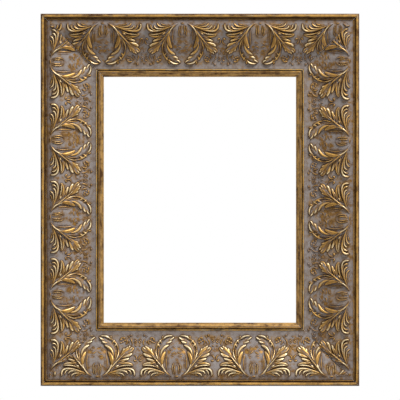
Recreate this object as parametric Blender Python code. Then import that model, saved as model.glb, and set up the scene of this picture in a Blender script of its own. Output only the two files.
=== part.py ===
"""Ogee picture frame with pressed acanthus ornament, open at the back.

Four mitred wood rails carry four strips of pressed composition ornament. Steel V-nails hold the
corners. The back has two D-ring hangers, four turn buttons and two wall bumpers.

The frame stands upright in the XZ plane. Its front faces -Y, and its back face lies at y = 0.
Sizes are in millimetres and are turned into metres where a mesh is written.
"""

from math import cos, pi, radians, sin, sqrt

import bmesh
import bpy
from mathutils import Vector

MM = 0.001

# What goes in the frame: an 11 by 14 inch picture
PICTURE_WIDTH = 279.4
PICTURE_HEIGHT = 355.6
PICTURE_PLAY = 3.2          # rabbet opening beyond the picture
LIP_WIDTH = 4.775           # how far the lip reaches over the rabbet
RABBET_DEPTH = 12.7

# Moulding section, from the outer edge inwards and up from the back face
FACE_WIDTH = 90.0
RIM_HEIGHT = 40.0
RIM_BEAD_RADIUS = 2.6
RIM_GROOVE_WIDTH = 1.7
RIM_GROOVE_DEPTH = 4.4
RIM_FILLET_WIDTH = 1.7
RIM_FILLET_DROP = 3.0
PANEL_DROP = 4.0            # panel's outer edge below the rim's crest
PANEL_FALL = 17.5           # from the panel's outer edge to its inner one
SHOULDER_SLOPE = 0.15       # the panel rises from the rim before it falls
FOOT_SLOPE = 0.1            # and rises again towards the inner fillet
SHOULDER_SHARE = 0.22       # of the panel's width, drawn as its shoulder
FOOT_SHARE = 0.82           # where its foot begins
INNER_FILLET_WIDTH = 1.6
INNER_FILLET_RISE = 0.6
QUIRK_WIDTH = 1.4
QUIRK_DEPTH = 1.8
SIGHT_BAND_WIDTH = 8.2
SIGHT_BEAD_RADIUS = 1.4
SIGHT_BEAD_RISE = 0.5
SIGHT_NOSE_RADIUS = 1.7
SIGHT_SLOPE = 1.4           # fall of the band from its bead to its nose
BACK_CHAMFER = 1.5

# Joints between pieces
CLEARANCE = 0.3
MITRE_GAP = 0.3

# Pressed ornament
ORNAMENT_THICKNESS = 2.0
ORNAMENT_SINK = 0.9         # how far a leaf's foot runs into the strip
REPEAT = 110.0
MOTIF_REACH = 62.0          # from the motif's root to the tips of its longest leaves
MOTIF_MARGIN = 3.6          # from the panel's outer edge to the motif's root
RELIEF = 4.2                # crest of the highest leaf above the strip
FLAT_ANGLE = 0.6            # degrees between faces that are drawn as one
TOP_PHASE = -24.4           # place of a motif's axis from the rail's middle
BOTTOM_PHASE = -33.4
LEFT_PHASE = -24.4
RIGHT_PHASE = -26.7

# V-nails, two across each mitre
NAIL_LEG = 8.0
NAIL_FLARE = 1.4
NAIL_THICKNESS = 0.6
NAIL_LENGTH = 10.0
NAIL_INSETS = {"outer": 28.0, "inner": 60.0}

# Wood screws
SCREW_FACETS = 10
SCREW_SHANK_RADIUS = 1.5
SCREW_LENGTH = 12.0
SCREW_HEAD_RADIUS = 3.2
SCREW_HEAD_HEIGHT = 2.0
SCREW_TIP_LENGTH = 3.0
SCREW_DOME_SHARE = 0.65     # of the head's height that is domed
DRILL_OVERSHOOT = 1.0       # how far a drill runs past the faces it opens

# D-ring hangers
RING_WIRE_RADIUS = 1.1
RING_LEG = 16.0
RING_REACH = 13.0
RING_CORNER_RADIUS = 2.6
BOW_FACETS = 8
EYE_CLEARANCE = 0.2
EYE_FACETS = 16
STRAP_SHEET = 0.8
STRAP_WIDTH = 10.0
STRAP_LENGTH = 32.0
STRAP_HOLES = {"upper": 7.6, "lower": 24.0}   # below the ring's pivot
HANGER_FROM_TOP = 145.0     # ring pivot below the frame's top edge
HANGER_INSET = 45.0         # from the outer edge

# Turn buttons
BUTTON_THICKNESS = 1.2
BUTTON_RADIUS = 5.0
BUTTON_NOSE_RADIUS = 3.4
BUTTON_REACH = 17.0         # pivot to the middle of the nose
BUTTON_FROM_RABBET = 8.0
BUTTON_SPREAD = 90.0        # above and below the frame's middle

# Wall bumpers
BUMPER_RADIUS = 6.0
BUMPER_HEIGHT = 3.0
BUMPER_INSET = 16.0
BUMPER_FROM_CORNER = 62.0

# What follows from the sizes above
RABBET_WIDTH = PICTURE_WIDTH + PICTURE_PLAY
RABBET_HEIGHT = PICTURE_HEIGHT + PICTURE_PLAY
SIGHT_WIDTH = RABBET_WIDTH - 2 * LIP_WIDTH
SIGHT_HEIGHT = RABBET_HEIGHT - 2 * LIP_WIDTH
OUTER_WIDTH = SIGHT_WIDTH + 2 * FACE_WIDTH
OUTER_HEIGHT = SIGHT_HEIGHT + 2 * FACE_WIDTH
GROOVE_START = 2 * RIM_BEAD_RADIUS
FILLET_START = GROOVE_START + RIM_GROOVE_WIDTH
PANEL_START = FILLET_START + RIM_FILLET_WIDTH
SIGHT_START = FACE_WIDTH - SIGHT_BAND_WIDTH
QUIRK_START = SIGHT_START - QUIRK_WIDTH
PANEL_END = QUIRK_START - INNER_FILLET_WIDTH
PANEL_WIDTH = PANEL_END - PANEL_START
PANEL_TOP = RIM_HEIGHT - PANEL_DROP
PANEL_FOOT = PANEL_TOP - PANEL_FALL
RABBET_WALL = FACE_WIDTH - LIP_WIDTH
MOTIF_ROOT = PANEL_START + MOTIF_MARGIN
EYE_RADIUS = RING_WIRE_RADIUS + EYE_CLEARANCE
EYE_OUTER_RADIUS = EYE_RADIUS + STRAP_SHEET
STRAP_TOP = CLEARANCE + 2 * STRAP_SHEET
SHANK_HOLE_RADIUS = SCREW_SHANK_RADIUS + CLEARANCE
PIVOT_Y = CLEARANCE + EYE_OUTER_RADIUS

COLOURS = {
    "gilded_wood": ((0.42, 0.27, 0.09), 0.45, 0.4),
    "ornament": ((0.22, 0.17, 0.13), 0.55, 0.2),
    "steel": ((0.62, 0.62, 0.60), 0.35, 1.0),
    "felt": ((0.05, 0.045, 0.04), 0.9, 0.0),
}


def clear_scene():
    for old in list(bpy.data.objects):
        bpy.data.objects.remove(old, do_unlink=True)


def make_material(name):
    colour, roughness, metallic = COLOURS[name]
    material = bpy.data.materials.new(name)
    material.use_nodes = True
    shader = material.node_tree.nodes["Principled BSDF"]
    shader.inputs["Base Color"].default_value = (*colour, 1.0)
    shader.inputs["Roughness"].default_value = roughness
    shader.inputs["Metallic"].default_value = metallic
    material.diffuse_color = (*colour, 1.0)
    return material


def mesh_from(bm, name):
    """Writes a bmesh as a mesh with its faces pointing out."""
    bmesh.ops.recalc_face_normals(bm, faces=bm.faces)
    mesh = bpy.data.meshes.new(name)
    bm.to_mesh(mesh)
    bm.free()
    return mesh


def add_object(name, mesh, material=None, location=(0, 0, 0), smooth=False):
    thing = bpy.data.objects.new(name, mesh)
    bpy.context.scene.collection.objects.link(thing)
    thing.location = location
    if material:
        mesh.materials.append(MATERIALS[material])
    if smooth:
        mesh.shade_smooth()
        mesh.set_sharp_from_angle(angle=radians(35))
    return thing


def add_cutter(name, mesh):
    cutter = add_object(name, mesh)
    cutter.hide_render = True
    cutter.display_type = "WIRE"
    return cutter


def cut(thing, cutter):
    modifier = thing.modifiers.new(cutter.name, "BOOLEAN")
    modifier.operation = "DIFFERENCE"
    modifier.solver = "EXACT"
    modifier.object = cutter


def boolean_mesh(base, tool, operation, overlapping=False):
    """The mesh that a Boolean of two meshes gives. The helpers it needs are removed again."""
    holder = add_object("boolean_base", base)
    helper = add_object("boolean_tool", tool)
    modifier = holder.modifiers.new("join", "BOOLEAN")
    modifier.operation = operation
    modifier.solver = "EXACT"
    modifier.use_self = overlapping
    modifier.object = helper
    evaluated = holder.evaluated_get(bpy.context.evaluated_depsgraph_get())
    result = bpy.data.meshes.new_from_object(evaluated)
    for spent in (holder, helper):
        bpy.data.objects.remove(spent, do_unlink=True)
    return result


def arc(centre, radius, start, end, steps):
    """Points on an arc, both ends included. Angles are in degrees."""
    points = []
    for i in range(steps + 1):
        angle = radians(start + (end - start) * i / steps)
        points.append((centre[0] + radius * cos(angle), centre[1] + radius * sin(angle)))
    return points


def prism(outline, place, near, far):
    """A closed solid between two copies of an outline: place(point, depth) puts each corner."""
    bm = bmesh.new()
    front = [bm.verts.new(place(p, near)) for p in outline]
    back = [bm.verts.new(place(p, far)) for p in outline]
    bm.faces.new(front)
    bm.faces.new(list(reversed(back)))
    for i in range(len(outline)):
        j = (i + 1) % len(outline)
        bm.faces.new((front[i], back[i], back[j], front[j]))
    return bm


def turned(profile, sides):
    """A closed solid turned round Y from (radius, y) pairs, which start and end on the axis."""
    bm = bmesh.new()
    rings = []
    for radius, y in profile[1:-1]:
        ring = []
        for i in range(sides):
            angle = 2 * pi * i / sides
            ring.append(bm.verts.new((radius * cos(angle) * MM, y * MM, radius * sin(angle) * MM)))
        rings.append(ring)
    ends = [bm.verts.new((0, y * MM, 0)) for _, y in (profile[0], profile[-1])]
    for i in range(sides):
        j = (i + 1) % sides
        bm.faces.new((ends[0], rings[0][i], rings[0][j]))
        bm.faces.new((ends[1], rings[-1][j], rings[-1][i]))
        for lower, upper in zip(rings, rings[1:]):
            bm.faces.new((lower[i], upper[i], upper[j], lower[j]))
    return bm


class Rail:
    """One side of the frame: u runs along it from its middle, v inwards and h up from the back."""

    def __init__(self, name, along, inward, edge, length, phase):
        self.name = name
        self.along = Vector(along)
        self.inward = Vector(inward)
        self.edge = Vector(edge)
        self.length = length
        self.phase = phase

    def place(self, u, v, h):
        point = self.edge + self.along * u + self.inward * v + Vector((0, -1, 0)) * h
        return point * MM

    def mitre_end(self, v):
        """Half the rail's length at a distance v from the outer edge."""
        return self.length / 2 - v - MITRE_GAP / sqrt(2)


RAILS = (
    Rail("top", (1, 0, 0), (0, 0, -1), (0, 0, OUTER_HEIGHT / 2), OUTER_WIDTH, TOP_PHASE),
    Rail("bottom", (1, 0, 0), (0, 0, 1), (0, 0, -OUTER_HEIGHT / 2), OUTER_WIDTH, BOTTOM_PHASE),
    Rail("left", (0, 0, 1), (1, 0, 0), (-OUTER_WIDTH / 2, 0, 0), OUTER_HEIGHT, LEFT_PHASE),
    Rail("right", (0, 0, 1), (-1, 0, 0), (OUTER_WIDTH / 2, 0, 0), OUTER_HEIGHT, RIGHT_PHASE),
)


# Moulding section

def panel_breaks():
    return [PANEL_START + PANEL_WIDTH * share for share in (0, SHOULDER_SHARE, FOOT_SHARE, 1)]


def panel_height(v):
    """The panel's surface: a double curve, drawn as flat facets between its breaks."""
    def curve(at):
        share = (at - PANEL_START) / PANEL_WIDTH
        fall = share * share * (3 - 2 * share)
        swell = SHOULDER_SLOPE * share * (1 - share) ** 2 - FOOT_SLOPE * share * share * (1 - share)
        return PANEL_TOP - PANEL_FALL * fall + PANEL_WIDTH * swell

    breaks = panel_breaks()
    for low, high in zip(breaks, breaks[1:]):
        if v <= high or high == breaks[-1]:
            return curve(low) + (curve(high) - curve(low)) * (v - low) / (high - low)


def rail_section():
    """The wood's outline as (v, h) corners, from the back's outer corner up and over the front."""
    bead_centre = (RIM_BEAD_RADIUS, RIM_HEIGHT - RIM_BEAD_RADIUS)
    groove_floor = RIM_HEIGHT - RIM_GROOVE_DEPTH
    fillet_top = RIM_HEIGHT - RIM_FILLET_DROP
    seat_drop = ORNAMENT_THICKNESS + CLEARANCE
    inner_fillet_top = PANEL_FOOT + INNER_FILLET_RISE
    band_top = PANEL_FOOT + SIGHT_BEAD_RISE
    sight_bead = (SIGHT_START + SIGHT_BEAD_RADIUS, band_top)
    nose = (FACE_WIDTH - SIGHT_NOSE_RADIUS, band_top - SIGHT_SLOPE - SIGHT_NOSE_RADIUS)
    points = [(BACK_CHAMFER, 0), (0, BACK_CHAMFER)]
    points += arc(bead_centre, RIM_BEAD_RADIUS, 180, 0, 8)
    points += [(GROOVE_START, groove_floor), (FILLET_START, groove_floor)]
    points += [(FILLET_START, fillet_top), (PANEL_START, fillet_top)]
    points += [(v, panel_height(v) - seat_drop) for v in panel_breaks()]
    points += [(PANEL_END, inner_fillet_top), (QUIRK_START, inner_fillet_top)]
    points += [(QUIRK_START, PANEL_FOOT - QUIRK_DEPTH), (SIGHT_START, PANEL_FOOT - QUIRK_DEPTH)]
    points += arc(sight_bead, SIGHT_BEAD_RADIUS, 180, 20, 5)
    points += arc(nose, SIGHT_NOSE_RADIUS, 90, 0, 4)
    points += [(FACE_WIDTH, RABBET_DEPTH), (RABBET_WALL, RABBET_DEPTH), (RABBET_WALL, 0)]
    return points


def add_rail(rail):
    section = rail_section()
    bm = bmesh.new()
    ends = []
    for side in (-1, 1):
        ends.append([bm.verts.new(rail.place(side * rail.mitre_end(v), v, h)) for v, h in section])
    for corners in ends:
        bm.faces.new(corners)
    for i in range(len(section)):
        j = (i + 1) % len(section)
        bm.faces.new((ends[0][i], ends[0][j], ends[1][j], ends[1][i]))
    return add_object(f"rail_{rail.name}", mesh_from(bm, f"rail_{rail.name}"), "gilded_wood")


# Pressed ornament

# One leaf: four control points of its spine, as (u, v) from the motif's root on its axis, its
# half width, its crest as a share of RELIEF, and the number of stations along it.
# The points are drawn on a motif that repeats every 110 mm and reaches 62 mm inwards.
DRAWN_REPEAT = 110.0
DRAWN_REACH = 62.0
LEAVES = (
    (((21, 8.6), (30, 12.4), (39, 11.2), (40.5, 4.2)), 1.9, 0.65, 3),
    (((9, 2.2), (26, 16.4), (52, 18.2), (49.5, 1.7)), 2.1, 0.8, 6),
    (((21, 13), (28, 19), (38, 20.4), (49, 16.2)), 2.3, 0.6, 3),
    (((12, 5.7), (26, 20.7), (33, 33.7), (46, 43)), 4.0, 0.8, 5),
    (((9, 7.7), (30, 17.7), (32, 49.7), (5, 56.7)), 3.9, 0.85, 6),
    (((14.5, 9.7), (19, 15.7), (20.5, 27.7), (14.5, 36.7)), 2.7, 1.0, 4),
)
# A lobe: its root, its tip, its half width and its crest as a share of RELIEF
LOBES = (
    ((29, 19.5), (43.5, 26.2), 1.8, 0.5),
    ((33.5, 28.5), (47.5, 32.2), 2.2, 0.6),
    ((37.5, 35.5), (49.5, 41.5), 2.2, 0.6),
    ((22.5, 35), (11, 46.4), 2.6, 0.8),
    ((17.5, 47), (7, 51.8), 2.2, 0.7),
    ((21, 50.5), (9, 59.3), 2.6, 0.7),
)
BOSS_CENTRE = (0.0, 18.5)
BOSS_SIZE = (9.5, 16.5)
BOSS_CREST = 0.4
BOSS_SHOULDER = (0.6, 0.8)  # of its size and of its crest
BOSS_FACETS = 8
BELLY_PLACE = 0.8           # below 1 the widest part of a leaf lies nearer to its root
LEAF_FULLNESS = 0.6         # below 1 a leaf's sides are fuller than a sine's
CREST_FULLNESS = 0.5
LOBE_BELLY = 0.62           # of the way from a lobe's root to its tip


def bezier(points, t):
    """A point on a cubic curve, and the curve's direction there."""
    p0, p1, p2, p3 = (Vector(p) for p in points)
    s = 1 - t
    point = p0 * s ** 3 + p1 * 3 * s * s * t + p2 * 3 * s * t * t + p3 * t ** 3
    slope = (p1 - p0) * 3 * s * s + (p2 - p1) * 6 * s * t + (p3 - p2) * 3 * t * t
    return point, slope.normalized()


def motif_point(flat, side, z):
    """Scales a drawn point to the rail's motif, on one side of its axis."""
    return (side * flat[0] * REPEAT / DRAWN_REPEAT, flat[1] * MOTIF_REACH / DRAWN_REACH, z)


def add_ridge(bm, stations, side):
    """Lofts a ridged leaf through stations of (left foot, crest, right foot, crest height)."""
    first, *rings, last = stations
    tips = [bm.verts.new(motif_point(end, side, -ORNAMENT_SINK)) for end in (first, last)]
    made = []
    for left, crest, right, height in rings:
        made.append((
            bm.verts.new(motif_point(left, side, -ORNAMENT_SINK)),
            bm.verts.new(motif_point(crest, side, height)),
            bm.verts.new(motif_point(right, side, -ORNAMENT_SINK)),
        ))
    for i in range(3):
        j = (i + 1) % 3
        bm.faces.new((tips[0], made[0][i], made[0][j]))
        bm.faces.new((tips[1], made[-1][j], made[-1][i]))
        for near, far in zip(made, made[1:]):
            bm.faces.new((near[i], far[i], far[j], near[j]))


def add_leaf(bm, spine, half_width, crest, steps, side):
    stations = [bezier(spine, 0)[0]]
    for k in range(1, steps):
        t = k / steps
        point, along = bezier(spine, t)
        swell = sin(pi * t ** BELLY_PLACE)
        across = Vector((-along.y, along.x)) * half_width * swell ** LEAF_FULLNESS
        height = RELIEF * crest * swell ** CREST_FULLNESS
        stations.append((point - across, point, point + across, height))
    stations.append(bezier(spine, 1)[0])
    add_ridge(bm, stations, side)


def add_lobe(bm, root, tip, half_width, crest, side):
    root, tip = Vector(root), Vector(tip)
    along = (tip - root).normalized()
    across = Vector((-along.y, along.x)) * half_width
    belly = root + (tip - root) * LOBE_BELLY
    widest = (belly - across, belly, belly + across, RELIEF * crest)
    add_ridge(bm, (root, widest, tip), side)


def add_boss(bm):
    """The low oval swelling between the two halves of the motif."""
    rings = []
    shoulder, rise = BOSS_SHOULDER
    for share, height in ((1.0, -ORNAMENT_SINK), (shoulder, RELIEF * BOSS_CREST * rise)):
        ring = []
        for i in range(BOSS_FACETS):
            angle = 2 * pi * i / BOSS_FACETS
            flat = (BOSS_CENTRE[0] + BOSS_SIZE[0] * share * cos(angle),
                    BOSS_CENTRE[1] + BOSS_SIZE[1] * share * sin(angle))
            ring.append(bm.verts.new(motif_point(flat, 1, height)))
        rings.append(ring)
    top = bm.verts.new(motif_point(BOSS_CENTRE, 1, RELIEF * BOSS_CREST))
    bm.faces.new(list(reversed(rings[0])))
    for i in range(BOSS_FACETS):
        j = (i + 1) % BOSS_FACETS
        bm.faces.new((rings[0][i], rings[0][j], rings[1][j], rings[1][i]))
        bm.faces.new((rings[1][i], rings[1][j], top))


def motif_mesh():
    """All leaves, lobes and the boss of one motif, united, with the strip's surface at z = 0."""
    boss = bmesh.new()
    add_boss(boss)
    leaves = bmesh.new()
    for side in (-1, 1):
        for spine, half_width, crest, steps in LEAVES:
            add_leaf(leaves, spine, half_width, crest, round(steps), side)
        for root, tip, half_width, crest in LOBES:
            add_lobe(leaves, root, tip, half_width, crest, side)
    base = mesh_from(boss, "boss")
    return boolean_mesh(base, mesh_from(leaves, "leaves"), "UNION", overlapping=True)


def cut_at(bm, point, normal, clear):
    """Cuts a mesh with a plane. With clear, what lies beyond is removed and the cut is closed."""
    parts = bm.verts[:] + bm.edges[:] + bm.faces[:]
    bmesh.ops.bisect_plane(bm, geom=parts, plane_co=point, plane_no=normal, clear_outer=clear)
    if clear:
        rim = [edge for edge in bm.edges if edge.is_boundary]
        bmesh.ops.holes_fill(bm, edges=rim, sides=0)


def add_ornament(rail, motif):
    """The pressed strip of one rail, cut through its motifs where the mitres fall."""
    low = PANEL_START + CLEARANCE
    high = PANEL_END - CLEARANCE
    reach = rail.mitre_end(low) + REPEAT / 4
    outline = ((-reach, low), (reach, low), (reach, high), (-reach, high))
    slab = prism(outline, lambda p, z: (p[0], p[1], z), -ORNAMENT_THICKNESS, 0)
    raised = bmesh.new()
    count = int(rail.length / REPEAT) + 2
    for k in range(-count, count + 1):
        centre = rail.phase + k * REPEAT
        if abs(centre) < rail.length / 2 + REPEAT / 8:
            before = len(raised.verts)
            raised.from_mesh(motif)
            raised.verts.ensure_lookup_table()
            shift = Vector((centre, MOTIF_ROOT, 0))
            bmesh.ops.translate(raised, verts=raised.verts[before:], vec=shift)
    strip = boolean_mesh(mesh_from(slab, "slab"), mesh_from(raised, "raised"), "UNION")
    bm = bmesh.new()
    bm.from_mesh(strip)
    for v in panel_breaks()[1:-1]:
        cut_at(bm, (0, v, 0), (0, 1, 0), clear=False)
    for side in (-1, 1):
        cut_at(bm, (side * rail.mitre_end(0), 0, 0), (side, 1, 0), clear=True)
    for vert in bm.verts:
        u, v, z = vert.co
        vert.co = rail.place(u, v, panel_height(v) + z)
    flat = radians(FLAT_ANGLE)
    bmesh.ops.dissolve_limit(bm, angle_limit=flat, verts=bm.verts[:], edges=bm.edges[:])
    bmesh.ops.triangulate(bm, faces=bm.faces[:])
    name = f"ornament_{rail.name}"
    return add_object(name, mesh_from(bm, name), "ornament")


# Corner V-nails

def nail_outline(thickness, stretch):
    """A V with flared ends, its point on the mitre and its legs square to each other."""
    half = thickness / 2
    leg = NAIL_LEG + stretch
    flare = NAIL_FLARE / sqrt(2)
    outer = [(half, half), (-leg, half), (-leg - flare, half + flare)]
    inner = [(-leg - flare - half * sqrt(2), flare + half - half * sqrt(2)),
             (-leg - half * (sqrt(2) - 1), -half), (-half, -half)]
    mirrored = [(b, a) for a, b in reversed(outer[1:] + inner[:2])]
    return outer + inner + mirrored


def nail_solid(corner, inset, clearance):
    """A nail across one mitre, or its slot where clearance widens it."""
    across, upright = corner
    point_x = across * (OUTER_WIDTH / 2 - inset)
    point_z = upright * (OUTER_HEIGHT / 2 - inset)

    def place(p, depth):
        return Vector((point_x + across * p[0], -depth, point_z + upright * p[1])) * MM

    outline = nail_outline(NAIL_THICKNESS + 2 * clearance, clearance)
    if clearance:
        return prism(outline, place, -clearance, CLEARANCE + NAIL_LENGTH + clearance)
    return prism(outline, place, CLEARANCE, CLEARANCE + NAIL_LENGTH)


def corners():
    for across, side in ((-1, "left"), (1, "right")):
        for upright, level in ((-1, "bottom"), (1, "top")):
            yield (across, upright), level, side


# Screws

def screw_solid():
    """A pan head screw pointing to -Y, with the underside of its head at y = 0."""
    profile = [(0, -SCREW_LENGTH), (SCREW_SHANK_RADIUS, SCREW_TIP_LENGTH - SCREW_LENGTH)]
    profile += [(SCREW_SHANK_RADIUS, 0), (SCREW_HEAD_RADIUS, 0)]
    for radius, rise in arc((0, 0), 1, 0, 90, 2)[:-1]:
        height = SCREW_HEAD_HEIGHT * (1 - SCREW_DOME_SHARE * (1 - rise))
        profile.append((SCREW_HEAD_RADIUS * radius, height))
    profile.append((0, SCREW_HEAD_HEIGHT))
    return turned(profile, SCREW_FACETS)


def screw_hole(depth_in_wood):
    radius = SHANK_HOLE_RADIUS
    above = STRAP_TOP + CLEARANCE
    profile = [(0, -depth_in_wood), (radius, -depth_in_wood), (radius, above), (0, above)]
    return turned(profile, SCREW_FACETS)


def hanger_x(side):
    return side * (OUTER_WIDTH / 2 - HANGER_INSET)


def hanger_z():
    return OUTER_HEIGHT / 2 - HANGER_FROM_TOP


def button_x(side):
    return side * (OUTER_WIDTH / 2 - RABBET_WALL + BUTTON_FROM_RABBET)


SIDES = (("left", -1), ("right", 1))
LEVELS = (("upper", 1), ("lower", -1))


def screw_places():
    """Each screw's name, the x and z of its axis, and the y under its head."""
    for side_name, side in SIDES:
        for level, below in STRAP_HOLES.items():
            yield (f"hanger_screw_{side_name}_{level}", side_name, hanger_x(side),
                   hanger_z() - below, STRAP_TOP + CLEARANCE)
        for level, up in LEVELS:
            yield (f"button_screw_{side_name}_{level}", side_name, button_x(side),
                   up * BUTTON_SPREAD, BUTTON_THICKNESS + 2 * CLEARANCE)


# D-ring hangers

def stadium(half_width, length, steps):
    """The strap's outline as (x, z), with a square top at the pivot and a round foot."""
    foot = arc((0, half_width - length), half_width, 180, 360, steps)
    return [(half_width, 0), (-half_width, 0)] + foot


def add_strap(side_name, side):
    half = STRAP_WIDTH / 2
    outline = stadium(half, STRAP_LENGTH, 8)

    def place(p, y):
        return Vector((p[0], y, p[1])) * MM

    plate = prism(outline, place, CLEARANCE - PIVOT_Y, STRAP_TOP - PIVOT_Y)

    def along_x(p, x):
        return Vector((x, p[0], p[1])) * MM

    circle = arc((0, 0), 1, 0, 360 - 360 / EYE_FACETS, EYE_FACETS - 1)
    barrel = [(EYE_OUTER_RADIUS * a, EYE_OUTER_RADIUS * b) for a, b in circle]
    eye = prism(barrel, along_x, -half, half)
    body = boolean_mesh(mesh_from(plate, "plate"), mesh_from(eye, "eye"), "UNION")
    strap = add_object(f"hanger_strap_{side_name}", body, "steel",
                       Vector((hanger_x(side), PIVOT_Y, hanger_z())) * MM)
    past = half + DRILL_OVERSHOOT
    bore = prism([(EYE_RADIUS * a, EYE_RADIUS * b) for a, b in circle], along_x, -past, past)
    hole = bmesh.new()
    hole.from_mesh(mesh_from(bore, "bore"))
    for below in STRAP_HOLES.values():
        drill = mesh_from(screw_hole(CLEARANCE), "drill")
        before = len(hole.verts)
        hole.from_mesh(drill)
        hole.verts.ensure_lookup_table()
        shift = Vector((0, -PIVOT_Y, -below)) * MM
        bmesh.ops.translate(hole, verts=hole.verts[before:], vec=shift)
    cutter = add_cutter(f"strap_holes_{side_name}", mesh_from(hole, "strap_holes"))
    cutter.location = strap.location
    cut(strap, cutter)
    return strap


def ring_path():
    """The D's centre line as (x, z): a straight leg at z = 0, round corners and a bow."""
    half = RING_LEG / 2
    r = RING_CORNER_RADIUS
    left = arc((r - half, r), r, 270, 180, 3)
    bow_height = RING_REACH - r
    bow = []
    for i in range(1, BOW_FACETS):
        angle = pi - pi * i / BOW_FACETS
        bow.append((half * cos(angle), r + bow_height * sin(angle)))
    right = arc((half - r, r), r, 0, -90, 3)
    return left + bow + right


def add_ring(side_name, side):
    curve = bpy.data.curves.new(f"hanger_ring_{side_name}", "CURVE")
    curve.dimensions = "3D"
    curve.bevel_depth = RING_WIRE_RADIUS * MM
    curve.bevel_resolution = 2
    curve.materials.append(MATERIALS["steel"])
    spline = curve.splines.new("POLY")
    points = ring_path()
    spline.points.add(len(points) - 1)
    for slot, (x, z) in zip(spline.points, points):
        slot.co = (x * MM, 0, z * MM, 1)
    spline.use_cyclic_u = True
    ring = bpy.data.objects.new(f"hanger_ring_{side_name}", curve)
    bpy.context.scene.collection.objects.link(ring)
    ring.location = Vector((hanger_x(side), PIVOT_Y, hanger_z())) * MM
    resting = RING_WIRE_RADIUS + 2 * CLEARANCE
    ring.rotation_euler = ((PIVOT_Y - resting) / RING_REACH, 0, 0)
    return ring


# Turn buttons

def button_outline():
    """A tapered tongue as (x, z), hanging from its pivot at the origin."""
    lean = tangent_lean(BUTTON_RADIUS, BUTTON_NOSE_RADIUS, BUTTON_REACH)
    head = arc((0, 0), BUTTON_RADIUS, -lean, 180 + lean, 8)
    nose = arc((0, -BUTTON_REACH), BUTTON_NOSE_RADIUS, 180 + lean, 360 - lean, 6)
    return head + nose


def tangent_lean(big, small, distance):
    """The angle in degrees by which two circles' shared tangent leans."""
    return (big - small) / distance * 180 / pi


def add_button(side_name, side, level, up):
    def place(p, y):
        return Vector((p[0], y, p[1])) * MM

    plate = prism(button_outline(), place, 0, BUTTON_THICKNESS)
    low = -DRILL_OVERSHOOT
    high = BUTTON_THICKNESS + DRILL_OVERSHOOT
    radius = SHANK_HOLE_RADIUS
    drill = turned([(0, low), (radius, low), (radius, high), (0, high)], SCREW_FACETS)
    body = boolean_mesh(mesh_from(plate, "tongue"), mesh_from(drill, "drill"), "DIFFERENCE")
    return add_object(f"turn_button_{side_name}_{level}", body, "steel",
                      Vector((button_x(side), CLEARANCE, up * BUTTON_SPREAD)) * MM)


def add_bumper(side_name, side):
    rounding = BUMPER_HEIGHT / 3
    profile = [(0, 0), (BUMPER_RADIUS, 0), (BUMPER_RADIUS, BUMPER_HEIGHT - rounding),
               (BUMPER_RADIUS - rounding, BUMPER_HEIGHT), (0, BUMPER_HEIGHT)]
    x = side * (OUTER_WIDTH / 2 - BUMPER_FROM_CORNER)
    z = BUMPER_INSET - OUTER_HEIGHT / 2
    return add_object(f"bumper_{side_name}", mesh_from(turned(profile, 16), "bumper"), "felt",
                      Vector((x, CLEARANCE, z)) * MM)


def build():
    rails = {rail.name: add_rail(rail) for rail in RAILS}
    motif = motif_mesh()
    for rail in RAILS:
        add_ornament(rail, motif)
    for corner, level, side in corners():
        for nail_name, inset in NAIL_INSETS.items():
            name = f"v_nail_{level}_{side}_{nail_name}"
            add_object(name, mesh_from(nail_solid(corner, inset, 0), name), "steel")
            wider = mesh_from(nail_solid(corner, inset, CLEARANCE), "slot")
            slot = add_cutter(f"slot_{level}_{side}_{nail_name}", wider)
            cut(rails[level], slot)
            cut(rails[side], slot)
    for name, side_name, x, z, y in screw_places():
        place = Vector((x, y, z)) * MM
        screw = add_object(name, mesh_from(screw_solid(), name), "steel", place, smooth=True)
        depth = SCREW_LENGTH - y + CLEARANCE
        pilot = add_cutter(f"pilot_{name}", mesh_from(screw_hole(depth), "pilot"))
        pilot.location = (screw.location.x, 0, screw.location.z)
        cut(rails[side_name], pilot)
    for side_name, side in SIDES:
        add_strap(side_name, side)
        add_ring(side_name, side)
        add_bumper(side_name, side)
        for level, up in LEVELS:
            add_button(side_name, side, level, up)


clear_scene()
MATERIALS = {name: make_material(name) for name in COLOURS}
build()
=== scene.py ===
# %% [markdown]
# # An ogee picture frame with pressed acanthus leaves
#
# This lesson dresses a bare model of a picture frame. The model gives every piece its place and its
# size. The cells below first make the finishes, which are paint and gilding, wood, steel and felt, and
# then give the pieces their fine shapes.
#
# The frame stands upright. Its front faces -Y, its back face lies at y = 0, and lengths are in metres.

# %% Load the bare model
from math import cos, pi, radians, sin, sqrt

import bmesh
import bpy
import numpy as np
from mathutils import Matrix, Vector


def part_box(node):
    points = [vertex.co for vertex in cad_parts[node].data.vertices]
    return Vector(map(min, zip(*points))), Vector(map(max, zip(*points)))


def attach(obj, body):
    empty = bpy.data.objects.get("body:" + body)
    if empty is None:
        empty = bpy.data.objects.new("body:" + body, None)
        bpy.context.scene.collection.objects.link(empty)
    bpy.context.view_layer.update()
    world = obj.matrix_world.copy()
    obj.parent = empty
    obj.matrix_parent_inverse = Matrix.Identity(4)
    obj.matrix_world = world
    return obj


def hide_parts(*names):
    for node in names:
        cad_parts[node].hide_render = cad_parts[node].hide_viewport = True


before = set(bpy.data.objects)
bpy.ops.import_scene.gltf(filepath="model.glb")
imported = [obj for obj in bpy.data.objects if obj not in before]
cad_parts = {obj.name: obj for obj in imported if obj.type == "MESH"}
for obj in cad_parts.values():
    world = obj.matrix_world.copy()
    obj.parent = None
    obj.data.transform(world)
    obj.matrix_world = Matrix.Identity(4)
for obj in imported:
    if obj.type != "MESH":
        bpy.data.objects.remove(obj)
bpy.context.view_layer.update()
print("the bare model has", len(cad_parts), "nodes")

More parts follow.
